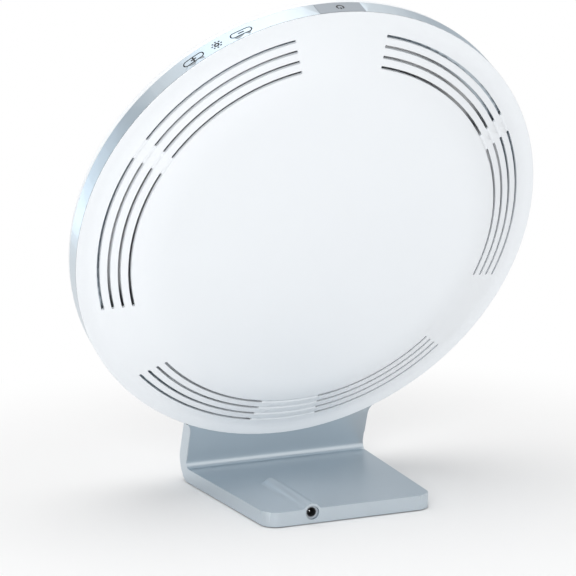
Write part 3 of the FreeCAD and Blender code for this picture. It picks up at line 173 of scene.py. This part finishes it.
class LampSizes(bpy.types.PropertyGroup):
    """Sizes of what is added to the frame's solids."""

    edge: FloatProperty(
        name="Soft edge", description="Rounding of the moulded edges",
        default=0.7 * MM, unit="LENGTH", min=0, max=1 * MM)
    base_top: FloatProperty(
        name="Base top", description="Height of the base's flat top",
        default=11.1 * MM, unit="LENGTH", min=0)
    edge_segments: IntProperty(
        name="Edge segments", description="Steps across each rounded edge", default=3, min=1, max=6)
    line: FloatProperty(
        name="Mark line", description="Width of a printed line",
        default=1.25 * MM, unit="LENGTH", min=0)
    ink: FloatProperty(
        name="Ink", description="Height of the print above its surface",
        default=0.03 * MM, unit="LENGTH", min=0)
    border: FloatProperty(
        name="Key border", description="Width of the dark line round the plus and minus keys",
        default=0.45 * MM, unit="LENGTH", min=0)
    power_mark: FloatProperty(
        name="Power mark", description="Radius of the power mark's ring",
        default=2.4 * MM, unit="LENGTH", min=0)
    power_gap: FloatProperty(
        name="Power mark gap", description="Opening of the power mark's ring",
        default=math.radians(70), unit="ROTATION", min=0)
    sign: FloatProperty(
        name="Plus and minus", description="Length of the strokes on the small keys",
        default=4.4 * MM, unit="LENGTH", min=0)
    sun_ring: FloatProperty(
        name="Sun ring", description="Radius of the ring of the sun mark",
        default=1.5 * MM, unit="LENGTH", min=0)
    sun_ray: FloatProperty(
        name="Sun ray", description="Length of each ray of the sun mark",
        default=1.2 * MM, unit="LENGTH", min=0)
    sun_rays: IntProperty(
        name="Sun rays", description="Rays of the sun mark", default=8, min=4, max=16)


class LampStage(bpy.types.PropertyGroup):
    """Camera, floor and lights."""

    azimuth: FloatProperty(
        name="Azimuth", description="Camera's angle round the lamp, 0 in front of it",
        default=math.radians(157.829), unit="ROTATION")
    elevation: FloatProperty(
        name="Elevation", description="Camera's height as an angle",
        default=math.radians(11.336), unit="ROTATION")
    roll: FloatProperty(
        name="Roll", description="Camera's turn about its own axis",
        default=math.radians(-0.648), unit="ROTATION")
    distance: FloatProperty(
        name="Distance", description="Camera's distance from its target", default=2.1151, unit="LENGTH")
    target: FloatVectorProperty(
        name="Target", description="Point that the camera looks at",
        default=(0.00828, -0.01442, 0.15044), subtype="XYZ", unit="LENGTH")
    lens: FloatProperty(
        name="Lens", description="Focal length of the camera, in millimetres", default=182.8, min=1)
    sky: FloatProperty(
        name="Sky", description="Strength of the light from all round", default=0.54, min=0)
    top_power: FloatProperty(
        name="Top light", description="Power of the wide light overhead", default=20, unit="POWER", min=0)
    side_power: FloatProperty(
        name="Side light", description="Power of the light beside the camera",
        default=21, unit="POWER", min=0)
    grey_card: FloatProperty(
        name="Grey cards", description="Brightness of the grey cards that the silver paint mirrors",
        default=0.55, min=0, max=1)
    bright_card: FloatProperty(
        name="Bright cards", description="Brightness of the bright cards that the silver paint mirrors",
        default=1.8, min=0, max=10)
    floor_clear: FloatProperty(
        name="Floor clear", description="Distance at which the floor has turned into the white ground",
        default=0.45, unit="LENGTH", min=0)


def finishes():
    return bpy.context.scene.lamp_finishes


def sizes():
    return bpy.context.scene.lamp_sizes


def grain_group():
    """Give the shared surface grain: a cloudy tone, an uneven sheen and a fine bump."""
    group = bpy.data.node_groups.get("surface_grain")
    if group:
        return group
    group = bpy.data.node_groups.new("surface_grain", "ShaderNodeTree")
    inputs = (
        ("Colour", "NodeSocketColor", (0.8, 0.8, 0.8, 1)),
        ("Tone", "NodeSocketFloat", 0.04),
        ("Roughness", "NodeSocketFloat", 0.4),
        ("Scale", "NodeSocketFloat", 2000.0),
        ("Depth", "NodeSocketFloat", 0.1),
    )
    for name, kind, value in inputs:
        group.interface.new_socket(name=name, in_out="INPUT", socket_type=kind).default_value = value
    outputs = {"Colour": "NodeSocketColor", "Roughness": "NodeSocketFloat", "Normal": "NodeSocketVector"}
    for name, kind in outputs.items():
        group.interface.new_socket(name=name, in_out="OUTPUT", socket_type=kind)
    nodes, link = group.nodes, group.links.new
    given, result = nodes.new("NodeGroupInput"), nodes.new("NodeGroupOutput")
    place = nodes.new("ShaderNodeTexCoord")
    cloud = nodes.new("ShaderNodeTexNoise")
    cloud.inputs["Scale"].default_value = 14
    cloud.inputs["Detail"].default_value = 3
    link(place.outputs["Object"], cloud.inputs["Vector"])
    shift = nodes.new("ShaderNodeMath")
    shift.operation = "SUBTRACT"
    shift.inputs[1].default_value = 0.5
    link(cloud.outputs["Fac"], shift.inputs[0])
    tone = nodes.new("ShaderNodeMath")
    tone.operation = "MULTIPLY_ADD"
    tone.inputs[2].default_value = 1
    link(shift.outputs[0], tone.inputs[0])
    link(given.outputs["Tone"], tone.inputs[1])
    shade = nodes.new("ShaderNodeHueSaturation")
    link(tone.outputs[0], shade.inputs["Value"])
    link(given.outputs["Colour"], shade.inputs["Color"])
    link(shade.outputs["Color"], result.inputs["Colour"])
    sheen = nodes.new("ShaderNodeMath")
    sheen.operation = "MULTIPLY"
    link(given.outputs["Roughness"], sheen.inputs[0])
    link(tone.outputs[0], sheen.inputs[1])
    link(sheen.outputs[0], result.inputs["Roughness"])
    grain = nodes.new("ShaderNodeTexNoise")
    grain.inputs["Detail"].default_value = 1
    link(place.outputs["Object"], grain.inputs["Vector"])
    link(given.outputs["Scale"], grain.inputs["Scale"])
    bump = nodes.new("ShaderNodeBump")
    bump.inputs["Distance"].default_value = 0.05 * MM
    link(grain.outputs["Fac"], bump.inputs["Height"])
    link(given.outputs["Depth"], bump.inputs["Strength"])
    link(bump.outputs["Normal"], result.inputs["Normal"])
    return group


def surface(name, colour, roughness, metal=0.0, coat=0.0, tone=0.05, scale=2000.0, depth=0.05):
    """Give a finish by name: a colour with the shared grain over it, named apart from the frame's own."""
    name = f"{name}_finish"
    material = bpy.data.materials.get(name)
    if material:
        return material
    material = bpy.data.materials.new(name)
    material.use_nodes = True
    nodes, link = material.node_tree.nodes, material.node_tree.links.new
    shader = nodes["Principled BSDF"]
    shader.inputs["Metallic"].default_value = metal
    shader.inputs["Coat Weight"].default_value = coat
    grain = nodes.new("ShaderNodeGroup")
    grain.node_tree = grain_group()
    grain.inputs["Colour"].default_value = (*colour, 1)
    grain.inputs["Tone"].default_value = tone
    grain.inputs["Roughness"].default_value = roughness
    grain.inputs["Scale"].default_value = scale
    grain.inputs["Depth"].default_value = depth
    link(grain.outputs["Colour"], shader.inputs["Base Color"])
    link(grain.outputs["Roughness"], shader.inputs["Roughness"])
    link(grain.outputs["Normal"], shader.inputs["Normal"])
    return material


def silver_paint():
    finish = finishes()
    return surface("silver_paint", finish.silver, finish.silver_roughness, metal=finish.silver_metal,
                   tone=0.05, scale=3000, depth=0.08)


def white_cover():
    finish = finishes()
    return surface("white_cover", finish.cover, finish.cover_roughness, tone=0.02, depth=0.02)


def opal_screen():
    return surface("opal_screen", finishes().screen, 0.5, tone=0.02, depth=0.03)


def power_key_plastic():
    return surface("power_key_plastic", finishes().power_key, 0.42, tone=0.04, depth=0.05)


def print_ink():
    return surface("print_ink", finishes().mark, 0.5, tone=0.1, depth=0.02)


# Painted shade: near black laid on the walls of the seam and of the key gaps, where shade falls.
def gap_shadow():
    return surface("gap_shadow", (0.005, 0.006, 0.007), 0.8, tone=0.1)


def white_board():
    return surface("white_board", (0.85, 0.87, 0.85), 0.5)


def green_board():
    return surface("green_board", (0.02, 0.14, 0.05), 0.4, coat=0.3, tone=0.15)


def dark_plastic():
    return surface("dark_plastic", (0.012, 0.012, 0.014), 0.38, tone=0.2)


def pale_nylon():
    return surface("pale_nylon", (0.75, 0.71, 0.6), 0.5, tone=0.08)


def plated_steel():
    return surface("plated_steel", (0.62, 0.63, 0.64), 0.24, metal=1, tone=0.1, scale=900)


# Painted shade: the jack's sleeve is coloured near black for the shade deep in its bore.
def dulled_steel():
    return surface("dulled_steel", (0.05, 0.05, 0.052), 0.4, metal=0.6, tone=0.1, scale=900)


def grey_plastic():
    return surface("grey_plastic", (0.42, 0.46, 0.5), 0.35, tone=0.08)


def sheet_aluminium():
    return surface("sheet_aluminium", (0.78, 0.79, 0.8), 0.35, metal=1, tone=0.08, scale=700, depth=0.1)


def turned_brass():
    return surface("turned_brass", (0.75, 0.56, 0.22), 0.3, metal=1, tone=0.1)


def diode_phosphor():
    return surface("diode_phosphor", (0.9, 0.76, 0.28), 0.45, tone=0.06)


def capacitor_sleeve():
    return surface("capacitor_sleeve", (0.02, 0.03, 0.12), 0.25, coat=0.4, tone=0.1)


def white_inner():
    return surface("white_inner", (0.88, 0.88, 0.88), 0.55, tone=0.03)


def soft_rubber():
    return surface("soft_rubber", (0.02, 0.02, 0.022), 0.75, tone=0.2, scale=1500, depth=0.2)


def lead_sheath():
    return surface("lead_sheath", (0.015, 0.015, 0.016), 0.5, tone=0.2, depth=0.1)


def paint_node(node, material):
    """Give a solid of the frame its material."""
    mesh = frame["nodes"][node].data
    mesh.materials.clear()
    mesh.materials.append(material)


def add_piece(bm, name, body, material, crease=30.0):
    """Turn a bmesh into a smooth piece that rides on a body."""
    mesh = bpy.data.meshes.new(name)
    bm.to_mesh(mesh)
    bm.free()
    mesh.materials.append(material)
    mesh.shade_smooth()
    mesh.set_sharp_from_angle(angle=math.radians(crease))
    piece = bpy.data.objects.new(name, mesh)
    bpy.context.scene.collection.objects.link(piece)
    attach(piece, body)
    return piece


def in_seam(face):
    """Tell whether a face is a wall of the seam between the rear cover and the band."""
    spot = face.calc_center_median() - CENTRE
    radius = spot.cross(FRONT).length
    ahead = spot.dot(FRONT) - SEAM
    return RADIUS - SEAM_REACH < radius < RADIUS - NEAR and -NEAR < ahead < SEAM_GAP + NEAR


def in_key_gap(face):
    """Tell whether a face is a wall of the gap round a key: it looks along the band's surface."""
    spot = face.calc_center_median() - CENTRE
    across = spot - FRONT * spot.dot(FRONT)
    if not RADIUS - KEY_GAP_REACH < across.length < RADIUS - NEAR:
        return False
    angle = math.atan2(across.dot(UP), across.dot(ACROSS))
    near = any(abs(angle - angle_of(key)) * RADIUS < KEY_REACH for key in ("plus", "minus"))
    inside = KEY_GAP_FROM < spot.dot(FRONT) - SEAM < KEY_GAP_TO
    return near and inside and abs(face.normal.dot(across.normalized())) < ALONG_BAND


def skin(node, material, crease=30.0, shaded=None):
    """Lay a smooth skin over a solid of the frame, which is hidden; faces that shaded picks get painted shade."""
    bm = bmesh.new()
    bm.from_mesh(frame["nodes"][node].data)
    bmesh.ops.remove_doubles(bm, verts=bm.verts, dist=WELD)
    bm.normal_update()
    for face in bm.faces:
        face.material_index = 1 if shaded and shaded(face) else 0
    paint_node(node, material)
    piece = add_piece(bm, f"{node}_skin", BODY_OF[node], material, crease)
    if shaded:
        piece.data.materials.append(gap_shadow())
    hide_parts(node)
    even = piece.modifiers.new("Even normals", "WEIGHTED_NORMAL")
    even.keep_sharp = True
    return piece


def stand_rim(bm):
    """Give the stand's outer edges: along the wall's rear, the base's top and both sides."""
    top = sizes().base_top
    half = max(vert.co.x for vert in bm.verts if vert.co.z < top)

    def outer(vert):
        spot = vert.co - CENTRE
        behind = abs(spot.dot(FRONT) - SEAM - SEAM_GAP) < ON_RIM
        above = abs(vert.co.z - top) < ON_RIM
        beside = abs(vert.co.x) > half - ON_RIM and vert.co.z > SIDE_FROM * top
        return spot.cross(FRONT).length > RADIUS + 0.5 * MM and (behind or above or beside)

    sharp = (edge for edge in bm.edges if len(edge.link_faces) == 2 and edge.is_convex)
    sharp = (edge for edge in sharp if edge.calc_face_angle() > SHARP)
    return [edge for edge in sharp if all(outer(vert) for vert in edge.verts)]


def soften(piece, width, rim):
    """Round some edges of a skin, before its normals are evened."""
    bm = bmesh.new()
    bm.from_mesh(piece.data)
    weight = bm.edges.layers.float.new("bevel_weight_edge")
    for edge in rim(bm):
        edge[weight] = 1
    bm.to_mesh(piece.data)
    bm.free()
    bevel = piece.modifiers.new("Soft edges", "BEVEL")
    bevel.width = width
    bevel.segments = sizes().edge_segments
    bevel.limit_method = "WEIGHT"
    bevel.use_clamp_overlap = False
    piece.modifiers.move(len(piece.modifiers) - 1, 0)


def flat_stroke(bm, start, end, line):
    """Draw a flat stroke from one point to another."""
    start, end = Vector((*start, 0)), Vector((*end, 0))
    along = end - start
    turn = Matrix.Rotation(math.atan2(along.y, along.x), 4, "Z")
    span = Matrix.Diagonal((along.length, line, 1, 1))
    bmesh.ops.create_grid(bm, x_segments=STROKE_STEPS, y_segments=1, size=0.5,
                          matrix=Matrix.Translation((start + end) / 2) @ turn @ span)


def flat_ring(bm, radius, line, gap=0.0, towards=0.0, shift=0.0):
    """Draw a flat ring, or an arc whose gap opens in a direction; the ring may be shifted along X."""
    begin = towards + gap / 2
    centre = Vector((shift, 0, 0))
    ray = Vector((math.cos(begin), math.sin(begin), 0))
    ends = [bm.verts.new(centre + ray * (radius + side * line / 2)) for side in (-1, 1)]
    edge = bm.edges.new(ends)
    bmesh.ops.spin(bm, geom=[*ends, edge], cent=centre, axis=(0, 0, 1), dvec=(0, 0, 0),
                   angle=math.tau - gap, steps=RING_STEPS, use_merge=gap == 0, use_duplicate=False)


def flat_border(bm, length, width, line):
    """Draw the flat border of a shape with round ends."""
    radius = (width - line) / 2
    half = (length - width) / 2
    for side in (-1, 1):
        flat_stroke(bm, (-half, side * radius), (half, side * radius), line)
        flat_ring(bm, radius, line, gap=math.pi, towards=math.pi * (side + 1) / 2, shift=side * half)
    bmesh.ops.remove_doubles(bm, verts=bm.verts, dist=WELD)


def print_on_band(bm, name, body, angle, axial):
    """Give a flat mark its thickness and bend it onto the band: X round the head, Y to the front."""
    size = sizes()
    bmesh.ops.recalc_face_normals(bm, faces=bm.faces)
    faces = bmesh.ops.extrude_face_region(bm, geom=bm.faces[:])
    raised = [part for part in faces["geom"] if isinstance(part, bmesh.types.BMVert)]
    bmesh.ops.translate(bm, verts=raised, vec=(0, 0, 2 * size.ink))
    for vert in bm.verts:
        turn = angle + vert.co.x / RADIUS
        way = ACROSS * math.cos(turn) + UP * math.sin(turn)
        vert.co = CENTRE + way * (RADIUS - size.ink + vert.co.z) + FRONT * (axial + vert.co.y)
    bmesh.ops.recalc_face_normals(bm, faces=bm.faces)
    return add_piece(bm, name, body, print_ink())


class LAMP_OT_shell(bpy.types.Operator):
    """Paint the silver band and stand"""

    bl_idname = "lamp.shell"
    bl_label = "Band and stand"

    def execute(self, context):
        shell = skin("frame_shell", silver_paint(), shaded=lambda face: in_seam(face) or in_key_gap(face))
        soften(shell, sizes().edge, stand_rim)
        skin("stand_cover", silver_paint())
        return {"FINISHED"}


class LAMP_OT_cover(bpy.types.Operator):
    """Finish the white rear cover"""

    bl_idname = "lamp.cover"
    bl_label = "Rear cover"

    def execute(self, context):
        skin("rear_cover", white_cover(), shaded=in_seam)
        return {"FINISHED"}


class LAMP_OT_screen(bpy.types.Operator):
    """Finish the opal front screen"""

    bl_idname = "lamp.screen"
    bl_label = "Front screen"

    def execute(self, context):
        skin("diffuser_screen", opal_screen())
        return {"FINISHED"}


class LAMP_OT_keys(bpy.types.Operator):
    """Finish the three keys with their plungers and switches"""

    bl_idname = "lamp.keys"
    bl_label = "Keys"

    def execute(self, context):
        caps = {"power": power_key_plastic(), "plus": silver_paint(), "minus": silver_paint()}
        for key, material in caps.items():
            skin(f"{key}_button", material, shaded=in_key_gap)
            paint_node(f"{key}_plunger", pale_nylon())
            paint_node(f"{key}_switch", dark_plastic())
        for node in ("power_key_board", "level_key_board"):
            paint_node(node, green_board())
        return {"FINISHED"}


class LAMP_OT_marks(bpy.types.Operator):
    """Print the power, plus, minus and sun marks"""

    bl_idname = "lamp.marks"
    bl_label = "Printed marks"

    def execute(self, context):
        self.power()
        self.signs()
        self.sun()
        return {"FINISHED"}

    def power(self):
        size, bm = sizes(), bmesh.new()
        flat_ring(bm, size.power_mark, size.line, gap=size.power_gap, towards=-math.pi / 2)
        flat_stroke(bm, (0, -STROKE_FROM * size.power_mark), (0, -STROKE_TO * size.power_mark), size.line)
        print_on_band(bm, "power_mark", "power_key", angle_of("power"), axial_middle("power_button"))

    def signs(self):
        size = sizes()
        half = size.sign / 2
        for key in ("plus", "minus"):
            bm = bmesh.new()
            flat_stroke(bm, (-half, 0), (half, 0), size.line)
            if key == "plus":
                flat_stroke(bm, (0, -half), (0, -size.line / 2), size.line)
                flat_stroke(bm, (0, size.line / 2), (0, half), size.line)
            print_on_band(bm, f"{key}_mark", f"{key}_key", angle_of(key), axial_middle(f"{key}_button"))
            # A dark line in the marks' ink round each small key, along the edge of its dark gap, makes the key's
            # dark outline wider.
            bm = bmesh.new()
            flat_border(bm, *key_span(key), size.border)
            print_on_band(bm, f"{key}_border", f"{key}_key", angle_of(key), axial_middle(f"{key}_button"))

    def sun(self):
        size, bm = sizes(), bmesh.new()
        flat_ring(bm, size.sun_ring, size.line)
        inner = size.sun_ring + SUN_CLEAR * size.line
        for index in range(size.sun_rays):
            turn = math.tau * index / size.sun_rays
            ray = Vector((math.cos(turn), math.sin(turn)))
            flat_stroke(bm, ray * inner, ray * (inner + size.sun_ray), size.line)
        angle = (angle_of("plus") + angle_of("minus")) / 2
        print_on_band(bm, "sun_mark", "lamp", angle, axial_middle("plus_button"))


class LAMP_OT_inlet(bpy.types.Operator):
    """Finish the power inlet in the base"""

    bl_idname = "lamp.inlet"
    bl_label = "Power inlet"

    def execute(self, context):
        skin("jack_housing", grey_plastic())
        # The sleeve's near-black colour is painted shade for the deep bore.
        skin("jack_sleeve", dulled_steel())
        skin("jack_pin", plated_steel())
        paint_node("jack_board", green_board())
        return {"FINISHED"}


class LAMP_OT_light_unit(bpy.types.Operator):
    """Finish the light board, its diodes and what carries them"""

    bl_idname = "lamp.light_unit"
    bl_label = "Light unit"

    def execute(self, context):
        paint_node("light_board", white_board())
        paint_node("light_diodes", diode_phosphor())
        paint_node("reflector_ring", white_inner())
        paint_node("chassis_plate", sheet_aluminium())
        paint_node("chassis_screws", plated_steel())
        return {"FINISHED"}


class LAMP_OT_driver(bpy.types.Operator):
    """Finish the driver board and its parts"""

    bl_idname = "lamp.driver"
    bl_label = "Driver"

    def execute(self, context):
        paint_node("driver_board", green_board())
        paint_node("driver_screws", plated_steel())
        paint_node("board_spacers", turned_brass())
        paint_node("inductor", dark_plastic())
        paint_node("driver_chip", dark_plastic())
        paint_node("capacitors", capacitor_sleeve())
        paint_node("power_header", pale_nylon())
        return {"FINISHED"}


class LAMP_OT_leads(bpy.types.Operator):
    """Finish the inner leads and their clips"""

    bl_idname = "lamp.leads"
    bl_label = "Inner leads"

    def execute(self, context):
        for node in ("power_lead", "key_lead"):
            paint_node(node, lead_sheath())
        paint_node("lead_clips", pale_nylon())
        return {"FINISHED"}


class LAMP_OT_base(bpy.types.Operator):
    """Finish what is inside and under the stand"""

    bl_idname = "lamp.base"
    bl_label = "Base"

    def execute(self, context):
        for node in ("ballast_plate", "stand_bracket", "bracket_screws"):
            paint_node(node, plated_steel())
        skin("base_screws", plated_steel())
        skin("rubber_feet", soft_rubber())
        return {"FINISHED"}


class LAMP_OT_stage(bpy.types.Operator):
    """Set up the floor, the white ground, the lights and the camera"""

    bl_idname = "lamp.stage"
    bl_label = "Stage"

    def execute(self, context):
        scene = context.scene
        scene.view_settings.view_transform = "Standard"
        stage = scene.lamp_stage
        self.world(scene, stage)
        self.floor(stage)
        for name, power, spot, span in LIGHTS:
            self.light(name, getattr(stage, power), spot, span)
        for name, tone, share, way, distance, span in CARDS:
            self.card(name, share * getattr(stage, tone), way, distance, span)
        self.camera(scene, stage)
        return {"FINISHED"}

    def seen_directly(self, nodes, link):
        """Give 1 for camera, mirror and glass rays and 0 for the rest."""
        path = nodes.new("ShaderNodeLightPath")
        total = path.outputs["Is Camera Ray"]
        for name in ("Is Glossy Ray", "Is Transmission Ray"):
            most = nodes.new("ShaderNodeMath")
            most.operation = "MAXIMUM"
            link(total, most.inputs[0])
            link(path.outputs[name], most.inputs[1])
            total = most.outputs[0]
        return total

    def world(self, scene, stage):
        world = bpy.data.worlds.new("white_studio")
        scene.world = world
        world.use_nodes = True
        nodes, link = world.node_tree.nodes, world.node_tree.links.new
        ambient = nodes["Background"]
        ambient.inputs["Color"].default_value = (1, 1, 1, 1)
        ambient.inputs["Strength"].default_value = stage.sky
        ground = nodes.new("ShaderNodeBackground")
        ground.inputs["Color"].default_value = (1, 1, 1, 1)
        mix = nodes.new("ShaderNodeMixShader")
        link(self.seen_directly(nodes, link), mix.inputs["Fac"])
        link(ambient.outputs[0], mix.inputs[1])
        link(ground.outputs[0], mix.inputs[2])
        link(mix.outputs[0], nodes["World Output"].inputs["Surface"])

    def floor(self, stage):
        bm = bmesh.new()
        bmesh.ops.create_circle(bm, cap_ends=True, segments=FLOOR_STEPS, radius=FLOOR_RADIUS)
        mesh = bpy.data.meshes.new("floor")
        bm.to_mesh(mesh)
        bm.free()
        floor = bpy.data.objects.new("floor", mesh)
        bpy.context.scene.collection.objects.link(floor)
        material = bpy.data.materials.new("white_floor")
        material.use_nodes = True
        nodes, link = material.node_tree.nodes, material.node_tree.links.new
        shader = nodes["Principled BSDF"]
        shader.inputs["Base Color"].default_value = (FLOOR_TONE, FLOOR_TONE, FLOOR_TONE, 1)
        shader.inputs["Roughness"].default_value = 1
        shader.inputs["Specular IOR Level"].default_value = 0
        place = nodes.new("ShaderNodeTexCoord")
        reach = nodes.new("ShaderNodeVectorMath")
        reach.operation = "LENGTH"
        link(place.outputs["Object"], reach.inputs[0])
        fade = nodes.new("ShaderNodeMapRange")
        fade.interpolation_type = "SMOOTHSTEP"
        fade.inputs["From Min"].default_value = FADE_FROM * stage.floor_clear
        fade.inputs["From Max"].default_value = stage.floor_clear
        link(reach.outputs["Value"], fade.inputs["Value"])
        factor = nodes.new("ShaderNodeMath")
        factor.operation = "MULTIPLY"
        link(fade.outputs["Result"], factor.inputs[0])
        link(self.seen_directly(nodes, link), factor.inputs[1])
        glow = nodes.new("ShaderNodeEmission")
        glow.inputs["Strength"].default_value = 1
        mix = nodes.new("ShaderNodeMixShader")
        link(factor.outputs[0], mix.inputs["Fac"])
        link(shader.outputs[0], mix.inputs[1])
        link(glow.outputs[0], mix.inputs[2])
        link(mix.outputs[0], nodes["Material Output"].inputs["Surface"])
        mesh.materials.append(material)

    def light(self, name, power, spot, span):
        data = bpy.data.lights.new(name, "AREA")
        data.energy = power
        data.shape = "DISK"
        data.size = span
        light = bpy.data.objects.new(name, data)
        light.location = spot
        light.rotation_euler = (CENTRE - Vector(spot)).to_track_quat("-Z", "Y").to_euler()
        light.visible_camera = False
        bpy.context.scene.collection.objects.link(light)

    def card(self, name, tone, way, distance, span):
        """Hang a card that only shows in reflections, for the silver paint's dark and bright runs."""
        way = Vector(way).normalized()
        spot = CENTRE + distance * way
        facing = way.to_track_quat("Z", "Y").to_matrix().to_4x4()
        bm = bmesh.new()
        place = Matrix.Translation(spot) @ facing
        bmesh.ops.create_grid(bm, x_segments=1, y_segments=1, size=span / 2, matrix=place)
        mesh = bpy.data.meshes.new(name)
        bm.to_mesh(mesh)
        bm.free()
        card = bpy.data.objects.new(name, mesh)
        bpy.context.scene.collection.objects.link(card)
        card.visible_camera = card.visible_diffuse = card.visible_shadow = False
        card.visible_transmission = False
        material = bpy.data.materials.new(name)
        material.use_nodes = True
        shader = material.node_tree.nodes["Principled BSDF"]
        shader.inputs["Base Color"].default_value = (0, 0, 0, 1)
        shader.inputs["Emission Color"].default_value = (0.85, 0.93, 1, 1)
        shader.inputs["Emission Strength"].default_value = tone
        mesh.materials.append(material)

    def camera(self, scene, stage):
        """Stand the camera where the photographer stood."""
        turn, rise = stage.azimuth, stage.elevation
        back = Vector((math.sin(turn) * math.cos(rise), -math.cos(turn) * math.cos(rise), math.sin(rise)))
        right = Vector((0, 0, 1)).cross(back).normalized()
        level = Matrix((right, back.cross(right), back)).transposed()
        data = bpy.data.cameras.new("camera")
        data.lens = stage.lens
        data.clip_end = 50
        camera = bpy.data.objects.new("camera", data)
        spot = Matrix.Translation(Vector(stage.target) + back * stage.distance)
        camera.matrix_world = spot @ level.to_4x4() @ Matrix.Rotation(stage.roll, 4, "Z")
        scene.collection.objects.link(camera)
        scene.camera = camera


OPERATORS = (
    LAMP_OT_shell, LAMP_OT_cover, LAMP_OT_screen, LAMP_OT_keys, LAMP_OT_marks, LAMP_OT_inlet,
    LAMP_OT_light_unit, LAMP_OT_driver, LAMP_OT_leads, LAMP_OT_base, LAMP_OT_stage,
)


class LAMP_PT_panel(bpy.types.Panel):
    """List the lamp's steps and settings"""

    bl_idname = "LAMP_PT_panel"
    bl_label = "Light therapy lamp"
    bl_space_type = "VIEW_3D"
    bl_region_type = "UI"
    bl_category = "Lamp"

    def draw(self, context):
        layout = self.layout
        for operator in OPERATORS:
            layout.operator(operator.bl_idname)
        for settings in (context.scene.lamp_finishes, context.scene.lamp_sizes, context.scene.lamp_stage):
            box = layout.box()
            for name in settings.__annotations__:
                box.prop(settings, name)


SETTINGS = {"lamp_finishes": LampFinishes, "lamp_sizes": LampSizes, "lamp_stage": LampStage}
CLASSES = (*SETTINGS.values(), *OPERATORS, LAMP_PT_panel)


def register():
    for cls in CLASSES:
        bpy.utils.register_class(cls)
    for name, settings in SETTINGS.items():
        setattr(bpy.types.Scene, name, PointerProperty(type=settings))


def unregister():
    for name in SETTINGS:
        delattr(bpy.types.Scene, name)
    for cls in reversed(CLASSES):
        bpy.utils.unregister_class(cls)


def main():
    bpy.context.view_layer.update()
    register()
    for operator in OPERATORS:
        group, name = operator.bl_idname.split(".")
        getattr(getattr(bpy.ops, group), name)()
    bpy.context.view_layer.update()


if __name__ == "__main__":
    main()
